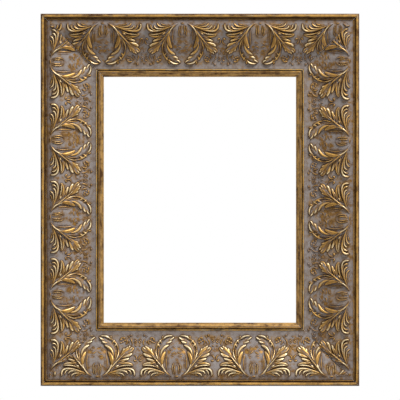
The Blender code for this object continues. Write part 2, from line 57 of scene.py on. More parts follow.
# %% [markdown]
# ## Camera
#
# The photograph looks at the frame straight from the front, and its sides run parallel. A long lens
# would do, but an orthographic camera keeps them parallel at any distance. Its scale is the width of
# the picture in metres, worked out from the size of one pixel.

# %% Camera
MM = 0.001
PIXEL = 1.4217 * MM
PICTURE_SIZE = 400
FRAME_MIDDLE = (199.93, 199.8)      # where the photograph shows the middle of the frame

camera_data = bpy.data.cameras.new("camera")
camera_data.type = "ORTHO"
camera_data.ortho_scale = PICTURE_SIZE * PIXEL
camera = bpy.data.objects.new("camera", camera_data)
camera.location = (
    (PICTURE_SIZE / 2 - FRAME_MIDDLE[0]) * PIXEL,
    -2.0,
    (FRAME_MIDDLE[1] - PICTURE_SIZE / 2) * PIXEL,
)
camera.rotation_euler = (radians(90), 0, 0)
bpy.context.scene.collection.objects.link(camera)
bpy.context.scene.camera = camera
bpy.context.scene.view_settings.view_transform = "Standard"
print("one picture is", round(camera_data.ortho_scale, 4), "m wide")

# %% [markdown]
# ## Light
#
# Relief only shows when light comes from one side. One square lamp above and to the right of the front
# models the leaves, and an even sky fills their shadows. The sky looks white to the camera and in
# reflections, but it lights the frame far less than a white sky would, so that the shadows stay.

# %% Light
LAMP_DIRECTION = Vector((0.52, -0.58, 1.15)).normalized()
LAMP_DISTANCE = 2.6
LAMP_SIZE = 0.55
LAMP_POWER = 115.0
FILL = 0.13


def soft_lamp(name, direction, distance, size, power):
    data = bpy.data.lights.new(name, "AREA")
    data.shape = "SQUARE"
    data.size = size
    data.energy = power
    lamp = bpy.data.objects.new(name, data)
    lamp.location = direction * distance
    lamp.rotation_euler = direction.to_track_quat("Z", "Y").to_euler()
    bpy.context.scene.collection.objects.link(lamp)


soft_lamp("key", LAMP_DIRECTION, LAMP_DISTANCE, LAMP_SIZE, LAMP_POWER)
print("lamp of", LAMP_POWER, "W")

# %% Sky
world = bpy.data.worlds.new("studio")
bpy.context.scene.world = world
world.use_nodes = True
sky = world.node_tree
sky.nodes.clear()
rays = sky.nodes.new("ShaderNodeLightPath")
seen = sky.nodes.new("ShaderNodeMath")
seen.operation = "MAXIMUM"
seen_or_through = sky.nodes.new("ShaderNodeMath")
seen_or_through.operation = "MAXIMUM"
fill_light = sky.nodes.new("ShaderNodeBackground")
fill_light.inputs["Color"].default_value = (1, 1, 1, 1)
fill_light.inputs["Strength"].default_value = FILL
white = sky.nodes.new("ShaderNodeBackground")
white.inputs["Color"].default_value = (1, 1, 1, 1)
white.inputs["Strength"].default_value = 1.0
choice = sky.nodes.new("ShaderNodeMixShader")
output = sky.nodes.new("ShaderNodeOutputWorld")
sky.links.new(rays.outputs["Is Camera Ray"], seen.inputs[0])
sky.links.new(rays.outputs["Is Glossy Ray"], seen.inputs[1])
sky.links.new(seen.outputs[0], seen_or_through.inputs[0])
sky.links.new(rays.outputs["Is Transmission Ray"], seen_or_through.inputs[1])
sky.links.new(seen_or_through.outputs[0], choice.inputs["Fac"])
sky.links.new(fill_light.outputs[0], choice.inputs[1])
sky.links.new(white.outputs[0], choice.inputs[2])
sky.links.new(choice.outputs[0], output.inputs["Surface"])
print("the sky lights with a strength of", FILL)

# %% [markdown]
# ## Writing materials as sums
#
# A material's nodes are easier to read as arithmetic. `Wire` stands for one output socket: adding or
# multiplying wires adds the Math nodes. `Finish` is a material in the making. Its method `add` makes
# any other node, sets its settings first, and then its sockets.

# %% Wires


class Wire:
    """One output socket of a finish. Sums and products of wires are Math nodes."""

    def __init__(self, finish, socket):
        self.finish = finish
        self.socket = socket

    def maths(self, operation, first, second, clamp=False):
        settings = {"operation": operation, "use_clamp": clamp}
        return self.finish.add("Math", settings, {0: first, 1: second})

    def __add__(self, other):
        return self.maths("ADD", self, other)

    def __radd__(self, other):
        return self.maths("ADD", other, self)

    def __sub__(self, other):
        return self.maths("SUBTRACT", self, other)

    def __rsub__(self, other):
        return self.maths("SUBTRACT", other, self)

    def __mul__(self, other):
        return self.maths("MULTIPLY", self, other)

    def __rmul__(self, other):
        return self.maths("MULTIPLY", other, self)

    def clamped(self):
        """The value held between 0 and 1."""
        return self.maths("ADD", self, 0.0, clamp=True)

    def between(self, low, high):
        """0 at low, 1 at high, and a soft step between them."""
        sockets = {"Value": self, "From Min": low, "From Max": high}
        return self.finish.add("MapRange", {"interpolation_type": "SMOOTHSTEP"}, sockets)


print("wires can be added, taken away and multiplied")

# %% Finishes


class Finish:
    """A material in the making."""

    def __init__(self, name, **constants):
        self.material = bpy.data.materials.new(name)
        self.material.use_nodes = True
        self.tree = self.material.node_tree
        self.shader = self.tree.nodes["Principled BSDF"]
        for socket, value in constants.items():
            self.shader.inputs[socket.replace("_", " ")].default_value = value

    def feed(self, socket, value):
        if isinstance(value, Wire):
            self.tree.links.new(value.socket, socket)
        else:
            socket.default_value = value

    def add(self, kind, settings=None, sockets=None, output=0):
        """Adds a node, sets its settings and then its sockets, and gives one of its outputs."""
        node = self.tree.nodes.new("ShaderNode" + kind)
        for name, value in (settings or {}).items():
            setattr(node, name, value)
        for name, value in (sockets or {}).items():
            self.feed(node.inputs[name], value)
        return Wire(self, node.outputs[output])

    def mix(self, share, first, second):
        """A colour between two others."""
        return self.add("Mix", {"data_type": "RGBA"}, {0: share, 6: first, 7: second}, 2)

    def attribute(self, name):
        """A value that the mesh carries at its points."""
        return self.add("Attribute", {"attribute_name": name}, None, "Fac")

    def place(self, stretch=(1, 1, 1)):
        """Where a point lies in the frame, stretched along each axis."""
        where = self.add("TexCoord", None, None, "Object")
        return self.add("VectorMath", {"operation": "MULTIPLY"}, {0: where, 1: stretch})

    def noise(self, size, detail=2.0, roughness=0.5, stretch=(1, 1, 1), warp=0.0):
        """Noise whose blotches are about size metres across."""
        sockets = {
            "Vector": self.place(stretch),
            "Scale": 1 / size,
            "Detail": detail,
            "Roughness": roughness,
            "Distortion": warp,
        }
        return self.add("TexNoise", None, sockets, "Fac")

    def bump(self, height, distance, strength=1.0):
        """Tilts the surface as if height, from 0 to 1, stood distance metres proud."""
        sockets = {"Height": height, "Distance": distance, "Strength": strength}
        self.feed(self.shader.inputs["Normal"], self.add("Bump", None, sockets))

    def paint(self, **sockets):
        """Feeds the shader's own sockets."""
        for name, value in sockets.items():
            self.feed(self.shader.inputs[name.replace("_", " ")], value)
        return self.material


print("finishes can be made")

# %% Colours


def colour(red, green, blue):
    """A colour as read off a screen, 0 to 255, turned into the linear light that shaders add up."""
    linear = []
    for value in (red, green, blue):
        share = value / 255
        linear.append(share / 12.92 if share <= 0.04045 else ((share + 0.055) / 1.055) ** 2.4)
    return (*linear, 1.0)


print("a middle grey is", round(colour(128, 128, 128)[0], 3), "in linear light")

# %% [markdown]
# ## The toned gilding
#
# The front of the frame was painted a grey taupe, rubbed with gold on everything that stands proud,
# and washed with thin brown that stayed in the hollows. A texture painted by hand could do this, but
# the shape itself already knows what stands proud. Each mesh below carries two values: `gilding`,
# where gold was rubbed on, and `hollow`, where the brown wash settled. Both also hold painted light:
# `gilding` a pale highlight on crests and brighter gold on some sides, `hollow` shade painted under the
# rim. Noise of four sizes breaks both up: blotches a few centimetres wide, clouds of a centimetre,
# flecks and grit.
#
# On the rails the wash was wiped along the moulding and dried in streaks. Noise that is stretched
# along the rail gives those, so the lying and the standing rails have a finish each.

# %% Toned gilding
TAUPE = colour(130, 123, 120)
WARM_TAUPE = colour(130, 103, 72)
GOLD = colour(182, 141, 72)
# The palest gold, on crests and the most gilded points, is partly a painted highlight.
PALE_GOLD_HIGHLIGHT = colour(250, 232, 190)
OLD_GOLD = colour(124, 88, 38)
BROWN_WASH = colour(64, 39, 14)
BLOTCH = 0.030
CLOUD = 0.009
FLECK = 0.0042
GRIT = 0.0009
FLECK_DEPTH = 0.00025
STREAK_ACROSS = 0.003
STREAK_STRETCH = 0.12
STREAK_WASH = 0.5


def toned_gilding(name, grain=None):
    """Paint, gold and brown wash. With grain, a stretch along a rail, the wash has streaks too."""
    finish = Finish(name, Specular_IOR_Level=0.12)
    gilding = finish.attribute("gilding")
    hollow = finish.attribute("hollow")
    # hollow is the brown wash and, on the leaf strips, also shade painted under the rim.
    wash_and_painted_light = hollow
    if grain:
        streak = finish.noise(STREAK_ACROSS, detail=2, stretch=grain).between(0.42, 0.7)
        wash_and_painted_light = (hollow + STREAK_WASH * gilding.between(0.0, 0.45) * streak).clamped()
    blotch = finish.noise(BLOTCH, detail=3, roughness=0.6, warp=0.6)
    cloud = finish.noise(CLOUD, detail=3, roughness=0.6, warp=0.4)
    fleck = finish.noise(FLECK, detail=3, roughness=0.65)
    grit = finish.noise(GRIT, detail=2)
    above_foot = gilding.between(-0.2, 0.0)     # the foot of the panel has less than no gold
    rubbed = (0.6 * blotch + 0.6 * cloud).between(0.5, 0.78) * (0.25 + 0.75 * above_foot)
    paint = finish.mix(rubbed * 0.5, TAUPE, WARM_TAUPE)
    smoked = (0.7 * cloud + 0.6 * fleck).between(0.52, 0.85)
    paint = finish.mix(smoked * 0.5, paint, BROWN_WASH)
    dust = (rubbed * fleck.between(0.42, 0.62) * 0.5).clamped()
    paint = finish.mix(dust, paint, GOLD)
    # Wash and painted shade darken the paint here and the gold below.
    wash_and_shade = (wash_and_painted_light * (0.75 + 0.5 * fleck)).clamped()
    paint = finish.mix(wash_and_shade, paint, BROWN_WASH)
    uneven = gilding + 0.5 * (fleck - 0.5) + 1.0 * (cloud - 0.5) + 0.4 * (blotch - 0.5)
    leaf = (uneven.between(0.12, 0.42) * (1 - 0.85 * hollow)).clamped()
    metal = finish.mix(uneven.between(0.3, 0.7), OLD_GOLD, GOLD)
    metal = finish.mix(uneven.between(0.75, 1.25), metal, PALE_GOLD_HIGHLIGHT)
    tarnish = (0.75 * cloud + 0.35 * fleck).between(0.45, 0.66)
    metal = finish.mix((0.9 * wash_and_painted_light + 0.5 * tarnish).clamped(), metal, BROWN_WASH)
    finish.bump(0.6 * fleck + 0.4 * grit, FLECK_DEPTH, 0.6)
    return finish.paint(
        Base_Color=finish.mix(leaf, paint, metal),
        Metallic=leaf * 0.3,
        Roughness=0.58 - leaf * 0.24,
    )


TONED_GILDING = toned_gilding("toned_gilding")
LYING_GILDING = toned_gilding("toned_gilding_lying", (STREAK_STRETCH, 1, 1))
STANDING_GILDING = toned_gilding("toned_gilding_standing", (1, 1, STREAK_STRETCH))
print("toned gilding has", len(TONED_GILDING.node_tree.nodes), "nodes")

# %% [markdown]
# ## Bare wood
#
# The back and the rabbet were never painted. Pine shows bands of growth that run along the rail, and
# finer fibres between them. A picture of pine would have to be laid on each rail, and would show where
# it repeats. Waves bent by noise give bands that never repeat, and noise that is stretched far along
# the rail gives the fibres. Grain follows its rail, so the lying and the standing rails have one finish
# each, turned by a quarter.

# %% Bare wood
PINE = colour(206, 171, 124)
DARK_PINE = colour(166, 122, 76)
PINE_FIBRE = colour(128, 90, 54)
RING_WIDTH = 0.012
FIBRE_WIDTH = 0.0011
BANDS_PER_METRE = 32.0


def bare_wood(name, along_x):
    """Pine whose grain runs along X, or else along Z."""
    def stretched(short, long):
        return (long, short, short) if along_x else (short, short, long)

    finish = Finish(name)
    ring = finish.noise(RING_WIDTH, detail=2, stretch=stretched(1, 0.06), warp=0.8)
    band = finish.add(
        "TexWave",
        {"wave_type": "BANDS", "bands_direction": "Z" if along_x else "X", "wave_profile": "SAW"},
        {
            "Vector": finish.place(),
            "Scale": BANDS_PER_METRE,
            "Distortion": 3.2,
            "Detail": 2.0,
            "Detail Scale": 0.9,
        },
        "Fac",
    )
    fibre = finish.noise(FIBRE_WIDTH, detail=3, roughness=0.7, stretch=stretched(1, 0.03))
    tone = (0.5 * band.between(0.2, 1.0) + 0.6 * ring.between(0.35, 0.7)).clamped()
    wood = finish.mix(tone * 0.75, PINE, DARK_PINE)
    wood = finish.mix(fibre.between(0.5, 0.8) * 0.55, wood, PINE_FIBRE)
    finish.bump(fibre, 0.0002, 0.5)
    return finish.paint(Base_Color=wood, Roughness=0.72 + 0.15 * fibre)


LYING_WOOD = bare_wood("bare_wood_lying", along_x=True)
STANDING_WOOD = bare_wood("bare_wood_standing", along_x=False)
print("wood finishes:", LYING_WOOD.name, STANDING_WOOD.name)

# %% [markdown]
# ## Steel and felt
#
# The straps, screws and buttons are zinc plated steel: bright, a little cloudy, with fine marks from
# the drum they were plated in. The rings are smoother wire with a warmer plating, and the corner nails
# are darker. The bumpers are pressed felt, which has almost no gloss, only a soft edge where its
# fibres catch light.
#
# The marks could be modelled, but these pieces are small. A little noise in the colour, the roughness
# and the bump is enough, and one function makes all three steels.

# %% Steel and felt


def plated_steel(name, light, dark, roughness):
    finish = Finish(name, Metallic=1.0)
    cloud = finish.noise(0.004, detail=3, roughness=0.6)
    scratch = finish.noise(0.0007, detail=2, stretch=(1, 1, 0.12))
    tone = finish.mix(cloud.between(0.35, 0.7), light, dark)
    finish.bump(scratch, 0.00005, 0.5)
    return finish.paint(Base_Color=tone, Roughness=roughness + 0.18 * cloud - 0.08 * scratch)


def pressed_felt():
    finish = Finish("pressed_felt", Sheen_Weight=0.6, Sheen_Roughness=0.5, Specular_IOR_Level=0.1)
    fibre = finish.noise(0.0006, detail=4, roughness=0.75, warp=1.5)
    tuft = finish.noise(0.0022, detail=2)
    tone = finish.mix(fibre.between(0.3, 0.75), colour(44, 38, 34), colour(86, 76, 68))
    finish.bump(0.7 * fibre + 0.3 * tuft, 0.0005, 0.9)
    return finish.paint(Base_Color=tone, Roughness=0.9 + 0.08 * tuft)


ZINC = plated_steel("zinc_plate", colour(206, 208, 208), colour(164, 167, 168), 0.26)
NICKEL = plated_steel("nickel_wire", colour(214, 209, 198), colour(178, 172, 160), 0.16)
NAIL_STEEL = plated_steel("nail_steel", colour(150, 150, 148), colour(108, 106, 102), 0.4)
FELT = pressed_felt()
print("steel and felt:", ZINC.name, NICKEL.name, NAIL_STEEL.name, FELT.name)

# %% [markdown]
# ## The four rails
#
# All four rails are cut from one moulding. Each could be drawn where it lies, but it is easier to think
# along the rail: u runs along it from its middle, v inwards from the outer edge, and h up from the
# back. `Side` turns these three into a place in the frame. It also keeps what differs from side to
# side: where an axis of the motif lies, how far the motif slips near the two ends, how deep the shade
# painted under the rim is, and how bright the gold of the leaves is painted, which is painted light
# that makes some sides brighter than others.

# %% The four sides
FACE_WIDTH = 90.0
SIGHT_WIDTH = 273.05
SIGHT_HEIGHT = 349.25
OUTER_WIDTH = SIGHT_WIDTH + 2 * FACE_WIDTH
OUTER_HEIGHT = SIGHT_HEIGHT + 2 * FACE_WIDTH
MITRE_GAP = 0.04
REPEAT = 110.0
SLIP_LENGTH = 125.0                 # the motif starts to slip this far from an end
SLIP_FADE = 30.0                    # and has slipped all the way this much nearer to it


class Side:
    """One side of the frame: its directions, the middle of its outer edge, and its length."""

    def __init__(self, name, along, inward, edge, length, axis, slip, painted_rim_shade, painted_light_gold):
        self.name = name
        self.along = along
        self.inward = inward
        self.edge = edge
        self.length = length
        self.axis = axis
        self.slip = slip
        self.painted_rim_shade = painted_rim_shade
        self.painted_light_gold = painted_light_gold
        self.upright = along[2] != 0

    def place(self, u, v, h):
        """Points in metres from arrays in millimetres."""
        u, v, h = (np.asarray(a, float)[..., None] for a in (u, v, h))
        return (self.edge + self.along * u + self.inward * v - np.array((0, 1, 0)) * h) * MM

    def reach(self, v):
        """Half the length at a distance v from the outer edge, where the mitre cuts it."""
        return self.length / 2 - v - MITRE_GAP / sqrt(2)

    def from_axis(self, u):
        """How far u lies from the motif's axis, when the motif slips a little towards both ends."""
        to_end = self.length / 2 - np.abs(u)
        share = np.clip((SLIP_LENGTH - to_end) / SLIP_FADE, 0, 1)
        return u - self.axis - share * np.where(u < 0, *self.slip)


RIGHT = np.array((1.0, 0.0, 0.0))
UP = np.array((0.0, 0.0, 1.0))
ACROSS = RIGHT * OUTER_WIDTH / 2
HIGH = UP * OUTER_HEIGHT / 2
# The last two numbers of each side are painted light: the shade under the rim, and how bright the leaves'
# gold is.
SIDES = (
    Side("top", RIGHT, -UP, HIGH, OUTER_WIDTH, axis=-24.4, slip=(-3.5, 0.5), painted_rim_shade=0.6, painted_light_gold=0.92),
    Side("bottom", RIGHT, UP, -HIGH, OUTER_WIDTH, axis=-33.4, slip=(-3.0, 0.5), painted_rim_shade=0.45, painted_light_gold=1.15),
    Side("left", UP, RIGHT, -ACROSS, OUTER_HEIGHT, axis=-24.4, slip=(-5.0, 0.5), painted_rim_shade=0.85, painted_light_gold=1.05),
    Side("right", UP, -RIGHT, ACROSS, OUTER_HEIGHT, axis=-26.7, slip=(-2.5, 4.0), painted_rim_shade=0.4, painted_light_gold=0.95),
)
print("sides:", [side.name for side in SIDES])

# %% [markdown]
# ## The section of the moulding
#
# From the outer edge inwards there is a round bead, a groove, a narrow flat that slopes outwards, the
# wide panel, a fine fillet, a second groove and a raised band that ends in a round nose at the opening.
# A cutter ran all of this in one pass. A curve drawn by hand could stand for it, but here each member
# has a name and a size, and only the round ones are arcs of many points.
#
# Each point of the outline also says how much gold and how much brown wash lie there. The panel lies
# a sheet's thickness and a glue line lower than `panel` says, because the leaf strips are laid on it.

# %% Section of the moulding
RIM_HEIGHT = 40.0
BEAD_RADIUS = 2.6
GROOVE_START = 5.2
GROOVE_FLOOR = 35.6
FLAT_START = 6.9
FLAT_HEIGHT = 37.0
PANEL_START = 8.6
PANEL_END = 78.8
PANEL_TOP = 36.0
PANEL_FALL = 17.5
PANEL_POINTS = 25
SHOULDER_SLOPE = 0.15
FOOT_SLOPE = 0.1
LEAF_SHEET = 2.0
CLEARANCE = 0.3
FILLET_HEIGHT = 19.1
QUIRK_START = 80.4
QUIRK_FLOOR = 16.7
BAND_START = 81.8
BAND_HEIGHT = 19.0
BAND_BEAD = 1.4
NOSE_RADIUS = 1.7
NOSE_HEIGHT = 15.9
RABBET_DEPTH = 12.7
LIP_WIDTH = 4.775
RABBET_WALL = FACE_WIDTH - LIP_WIDTH
BACK_CHAMFER = 1.5


def panel(v):
    """Height of the panel, which swells beside the rim, falls away and flattens before the fillet."""
    width = PANEL_END - PANEL_START
    share = (v - PANEL_START) / width
    fall = share * share * (3 - 2 * share)
    swell = SHOULDER_SLOPE * share * (1 - share) ** 2 - FOOT_SLOPE * share * share * (1 - share)
    return PANEL_TOP - PANEL_FALL * fall + width * swell


def round_over(centre_v, centre_h, radius, start, end, steps, gilding, hollow):
    """Points of an arc. Its crest has the most gold, partly rubbed gold and partly a painted highlight, and
    the wash is deeper towards its two ends.
    """
    points = []
    for i in range(steps + 1):
        share = i / steps
        angle = radians(start + (end - start) * share)
        outer = min(max(1.5 - 3.2 * share, 0), 1)
        inner = max(2 * share - 1, 0) ** 4
        depth = hollow * max(outer, inner)
        # The extra gold along the crest is partly a painted highlight.
        gold = gilding * (0.7 + 0.6 * sin(pi * share) ** 3)
        points.append((centre_v + radius * cos(angle), centre_h + radius * sin(angle), gold, depth))
    return points


def outline():
    """The section as (v, h, gilding, hollow), from the foot of the outer side over the front."""
    bead_height = RIM_HEIGHT - BEAD_RADIUS
    seat = LEAF_SHEET + CLEARANCE
    points = [(0, BACK_CHAMFER, 0.2, 0.75), (0, 12, 0.25, 0.7)]
    points += [(0, bead_height - 6, 0.3, 0.75), (0, bead_height - 1, 0.3, 0.9)]
    points += round_over(BEAD_RADIUS, bead_height, BEAD_RADIUS, 180, 0, 24, 0.62, 1.0)
    points += [(GROOVE_START + 0.05, GROOVE_FLOOR + 0.7, 0.3, 0.95)]
    points += [(GROOVE_START + 0.4, GROOVE_FLOOR, 0.3, 0.95)]
    points += [(FLAT_START - 0.4, GROOVE_FLOOR, 0.3, 0.95)]
    points += [(FLAT_START - 0.05, GROOVE_FLOOR + 0.6, 0.4, 0.8)]
    points += [(FLAT_START + 0.1, FLAT_HEIGHT - 0.35, 0.7, 0.2)]
    points += [(FLAT_START + 0.5, FLAT_HEIGHT - 0.2, 0.6, 0.05)]
    points += [(PANEL_START - 0.4, FLAT_HEIGHT, 0.5, 0.1)]
    points += [(PANEL_START - 0.1, FLAT_HEIGHT - 0.3, 0.3, 0.2)]
    for v in np.linspace(PANEL_START, PANEL_END, PANEL_POINTS):
        points.append((v, panel(v) - seat, 0, 0.5))
    points += [(PANEL_END, FILLET_HEIGHT - 0.3, 0.7, 0.3)]
    points += [(PANEL_END + 0.25, FILLET_HEIGHT, 0.85, 0.0)]
    points += [(QUIRK_START - 0.25, FILLET_HEIGHT, 0.85, 0.0)]
    points += [(QUIRK_START, FILLET_HEIGHT - 0.3, 0.7, 0.4)]
    points += [(QUIRK_START + 0.1, QUIRK_FLOOR + 0.4, 0.1, 1)]
    points += [(QUIRK_START + 0.4, QUIRK_FLOOR, 0.1, 1)]
    points += [(BAND_START - 0.4, QUIRK_FLOOR, 0.1, 1)]
    points += [(BAND_START - 0.1, QUIRK_FLOOR + 0.4, 0.2, 0.9)]
    points += round_over(BAND_START + BAND_BEAD, BAND_HEIGHT, BAND_BEAD, 180, 60, 12, 0.56, 0.6)
    points += [(BAND_START + 3.5, BAND_HEIGHT + 0.6, 0.72, 0.2)]
    points += [(BAND_START + 5.0, BAND_HEIGHT - 0.3, 0.74, 0.16)]
    points += round_over(FACE_WIDTH - NOSE_RADIUS, NOSE_HEIGHT, NOSE_RADIUS, 70, 0, 10, 0.72, 0.14)
    points += [(FACE_WIDTH, RABBET_DEPTH, 0.5, 0.4)]
    return points


def wood_outline():
    """The bare part of the section: the rabbet and the back."""
    return [(RABBET_WALL, RABBET_DEPTH), (RABBET_WALL, 0), (BACK_CHAMFER, 0)]


print("the section has", len(outline()) + len(wood_outline()), "points")

# %% [markdown]
# ## Cutting the rails
#
# A rail is cut off at 45 degrees at both ends. An outline swept along a curve would end square, so it
# is placed four times instead: at both mitres, and close beside them, where the wash of the joint ends.
#
# The corner nails and the screws sit in wood, so their slots and pilot holes are cut out with Boolean
# modifiers. The modifiers are applied at once by reading the finished mesh back. The faces of bare wood
# are planed flat, and a cut leaves long thin faces there, so they are shaded flat and only the gilded
# faces are shaded round.

# %% Mesh helpers


def mesh_from(name, points, faces):
    mesh = bpy.data.meshes.new(name)
    mesh.from_pydata([tuple(p) for p in points], [], faces)
    bm = bmesh.new()
    bm.from_mesh(mesh)
    bmesh.ops.recalc_face_normals(bm, faces=bm.faces)
    bm.to_mesh(mesh)
    bm.free()
    return mesh


def carry(mesh, name, values):
    """Writes one value at each point of a mesh."""
    layer = mesh.attributes.new(name, "FLOAT", "POINT")
    layer.data.foreach_set("value", np.asarray(values, np.float32))


def smooth(mesh, angle):
    """Shades a mesh as round, except at edges that are sharper than angle degrees."""
    mesh.shade_smooth()
    mesh.set_sharp_from_angle(angle=radians(angle))


def show(name, mesh, materials, body, node):
    """Shows a mesh as a piece that rides on a body, in place of a node of the bare model."""
    piece = bpy.data.objects.new(name, mesh)
    bpy.context.scene.collection.objects.link(piece)
    if not mesh.materials:
        for material in materials:
            mesh.materials.append(material)
    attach(piece, body)
    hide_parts(node)


def cut_out(mesh, tools):
    """The mesh with tools, each a mesh, taken out of it."""
    holder = bpy.data.objects.new("cutting", mesh)
    bpy.context.scene.collection.objects.link(holder)
    helpers = []
    for tool in tools:
        helper = bpy.data.objects.new("cutter", tool)
        bpy.context.scene.collection.objects.link(helper)
        modifier = holder.modifiers.new("cut", "BOOLEAN")
        modifier.operation = "DIFFERENCE"
        modifier.solver = "EXACT"
        modifier.object = helper
        helpers.append(helper)
    evaluated = holder.evaluated_get(bpy.context.evaluated_depsgraph_get())
    result = bpy.data.meshes.new_from_object(evaluated)
    for spent in (holder, *helpers):
        bpy.data.objects.remove(spent, do_unlink=True)
    return result


def swollen(node, growth):
    """A copy of a node's mesh, grown along its normals."""
    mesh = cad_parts[node].data.copy()
    bm = bmesh.new()
    bm.from_mesh(mesh)
    bmesh.ops.remove_doubles(bm, verts=bm.verts, dist=1e-6)
    bm.normal_update()
    shift = [(vert, vert.normal * vert.calc_shell_factor() * growth) for vert in bm.verts]
    for vert, step in shift:
        vert.co += step
    bm.to_mesh(mesh)
    bm.free()
    return mesh


print("helpers are ready")

# %% A lathe


def lathe(profile, sides, centre=(0, 0, 0)):
    """A solid turned round Y from (radius, y) pairs in millimetres that start and end on the axis."""
    points = []
    inner = profile[1:-1]
    for radius, y in inner:
        for i in range(sides):
            angle = 2 * pi * i / sides
            points.append((radius * cos(angle), y, radius * sin(angle)))
    points += [(0, profile[0][1], 0), (0, profile[-1][1], 0)]
    first, last = len(points) - 2, len(points) - 1
    faces = []
    for i in range(sides):
        j = (i + 1) % sides
        top = (len(inner) - 1) * sides
        faces.append((first, i, j))
        faces.append((last, top + j, top + i))
        for ring in range(len(inner) - 1):
            a = ring * sides
            faces.append((a + i, a + sides + i, a + sides + j, a + j))
    moved = [(Vector(p) + Vector(centre)) * MM for p in points]
    return mesh_from("turned", moved, faces)


print("the lathe is ready")

# %% A rail
MITRE_SHADE = 0.6
JOINT_WASH = 0.7


def rail_mesh(side, gilt, wood):
    """The section four times: at both mitres, and beside them where the wash of the joint ends."""
    front = outline()
    back = wood_outline()
    section = [(v, h) for v, h, *_ in front] + back
    v = np.array([p[0] for p in section])
    h = np.array([p[1] for p in section])
    reach = side.reach(v)
    stations = (-reach, JOINT_WASH - reach, reach - JOINT_WASH, reach)
    points = np.concatenate([side.place(u, v, h) for u in stations])
    count = len(section)
    last = (len(stations) - 1) * count
    faces = [tuple(range(count)), tuple(range(last, last + count))]
    for start in range(0, last, count):
        faces += [
            (start + i, start + (i + 1) % count, start + count + (i + 1) % count, start + count + i)
            for i in range(count)
        ]
    mesh = mesh_from(f"moulding_{side.name}", points, faces)
    gilding = [p[2] for p in front] + [0.0] * len(back)
    hollow = [p[3] for p in front] + [0.0] * len(back)
    joint = [max(MITRE_SHADE, depth) for depth in hollow]
    carry(mesh, "gilding", gilding * len(stations))
    carry(mesh, "hollow", joint + hollow * 2 + joint)
    mesh.materials.append(gilt)
    mesh.materials.append(wood)
    round_the_section = [0] * (len(front) - 1) + [1] * (len(back) + 1)
    mesh.polygons.foreach_set("material_index", [1, 1] + round_the_section * (len(stations) - 1))
    return mesh


print("the wash in a joint is", JOINT_WASH, "mm wide")

# %% Slots and pilot holes
SLOT_GROWTH = 0.3 * MM
PILOT_RADIUS = 1.8
PILOT_PLAY = 0.3
ROD_SIDES = 24


def as_wood(mesh, wood):
    """Gives all faces of a cutter a rail's second material, so that what it opens is bare wood."""
    mesh.materials.append(TONED_GILDING)
    mesh.materials.append(wood)
    mesh.polygons.foreach_set("material_index", [1] * len(mesh.polygons))
    return mesh


def rail_cutters(side, wood):
    """A slot for each corner nail and a hole for each screw that sits in this rail."""
    tools = []
    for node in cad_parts:
        if node.startswith("v_nail") and side.name in node:
            tools.append(swollen(node, SLOT_GROWTH))
        if "screw" in node and side.name in node:
            low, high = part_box(node)
            middle = (low + high) / 2 / MM
            deep = low.y / MM - PILOT_PLAY
            profile = [(0, deep), (PILOT_RADIUS, deep), (PILOT_RADIUS, 0.5), (0, 0.5)]
            tools.append(lathe(profile, ROD_SIDES, (middle.x, 0, middle.z)))
    return [as_wood(tool, wood) for tool in tools]


print("a pilot hole is", 2 * PILOT_RADIUS, "mm wide")

# %% The four rails
for side in SIDES:
    wood = STANDING_WOOD if side.upright else LYING_WOOD
    gilt = STANDING_GILDING if side.upright else LYING_GILDING
    mesh = cut_out(rail_mesh(side, gilt, wood), rail_cutters(side, wood))
    smooth(mesh, 30)
    gilded_faces = [face.material_index == 0 for face in mesh.polygons]
    mesh.polygons.foreach_set("use_smooth", gilded_faces)
    show(f"moulding_{side.name}", mesh, [], "frame", f"rail_{side.name}")
    print(side.name, "rail has", len(mesh.polygons), "faces")

# %% [markdown]
# ## Drawing the motif
#
# The leaves were pressed in a carved mould. Modelling every leaf as its own mesh and joining them
# would be heavy and would leave sharp seams, so the mould is drawn instead: a grid holds the height of
# half a motif, cell by cell, and each leaf raises the cells that lie near its spine. The other half is
# its mirror image. Such a drawing is called a height field, and a coin's die is one too.
#
# More drawings go with it: the beds that leaves lie on, the gold on the crests, a little gold dust on
# the ground, and the smoke, which is brown wash on the ground and, where wash is wiped off, a painted
# highlight. The foot of the panel has no dust.

# %% Curves and blurs
CELL = 0.25
HALF = REPEAT / 2


def bezier(points, count=48):
    """Points on a cubic curve."""
    p = np.array(points, float)
    t = np.linspace(0, 1, count)[:, None]
    s = 1 - t
    return p[0] * s ** 3 + 3 * p[1] * s * s * t + 3 * p[2] * s * t * t + p[3] * t ** 3


def soften(field, radius):
    """A field of cells blurred over radius millimetres. Its edges are mirrored."""
    reach = int(3 * radius / CELL) + 1
    taps = np.exp(-0.5 * (np.arange(-reach, reach + 1) * CELL / radius) ** 2)
    taps /= taps.sum()
    padded = np.pad(field, reach, mode="reflect")
    padded = np.apply_along_axis(np.convolve, 1, padded, taps, "valid")
    return np.apply_along_axis(np.convolve, 0, padded, taps, "valid")


print("a cell is", CELL, "mm wide")

# %% A drawing of heights
DUST = 0.13
DUST_END = 71.0
SMOKE = 0.1
SMOKE_START = 69.0
ON_BED = 0.75                       # how much of a bed's height shows in what lies on it


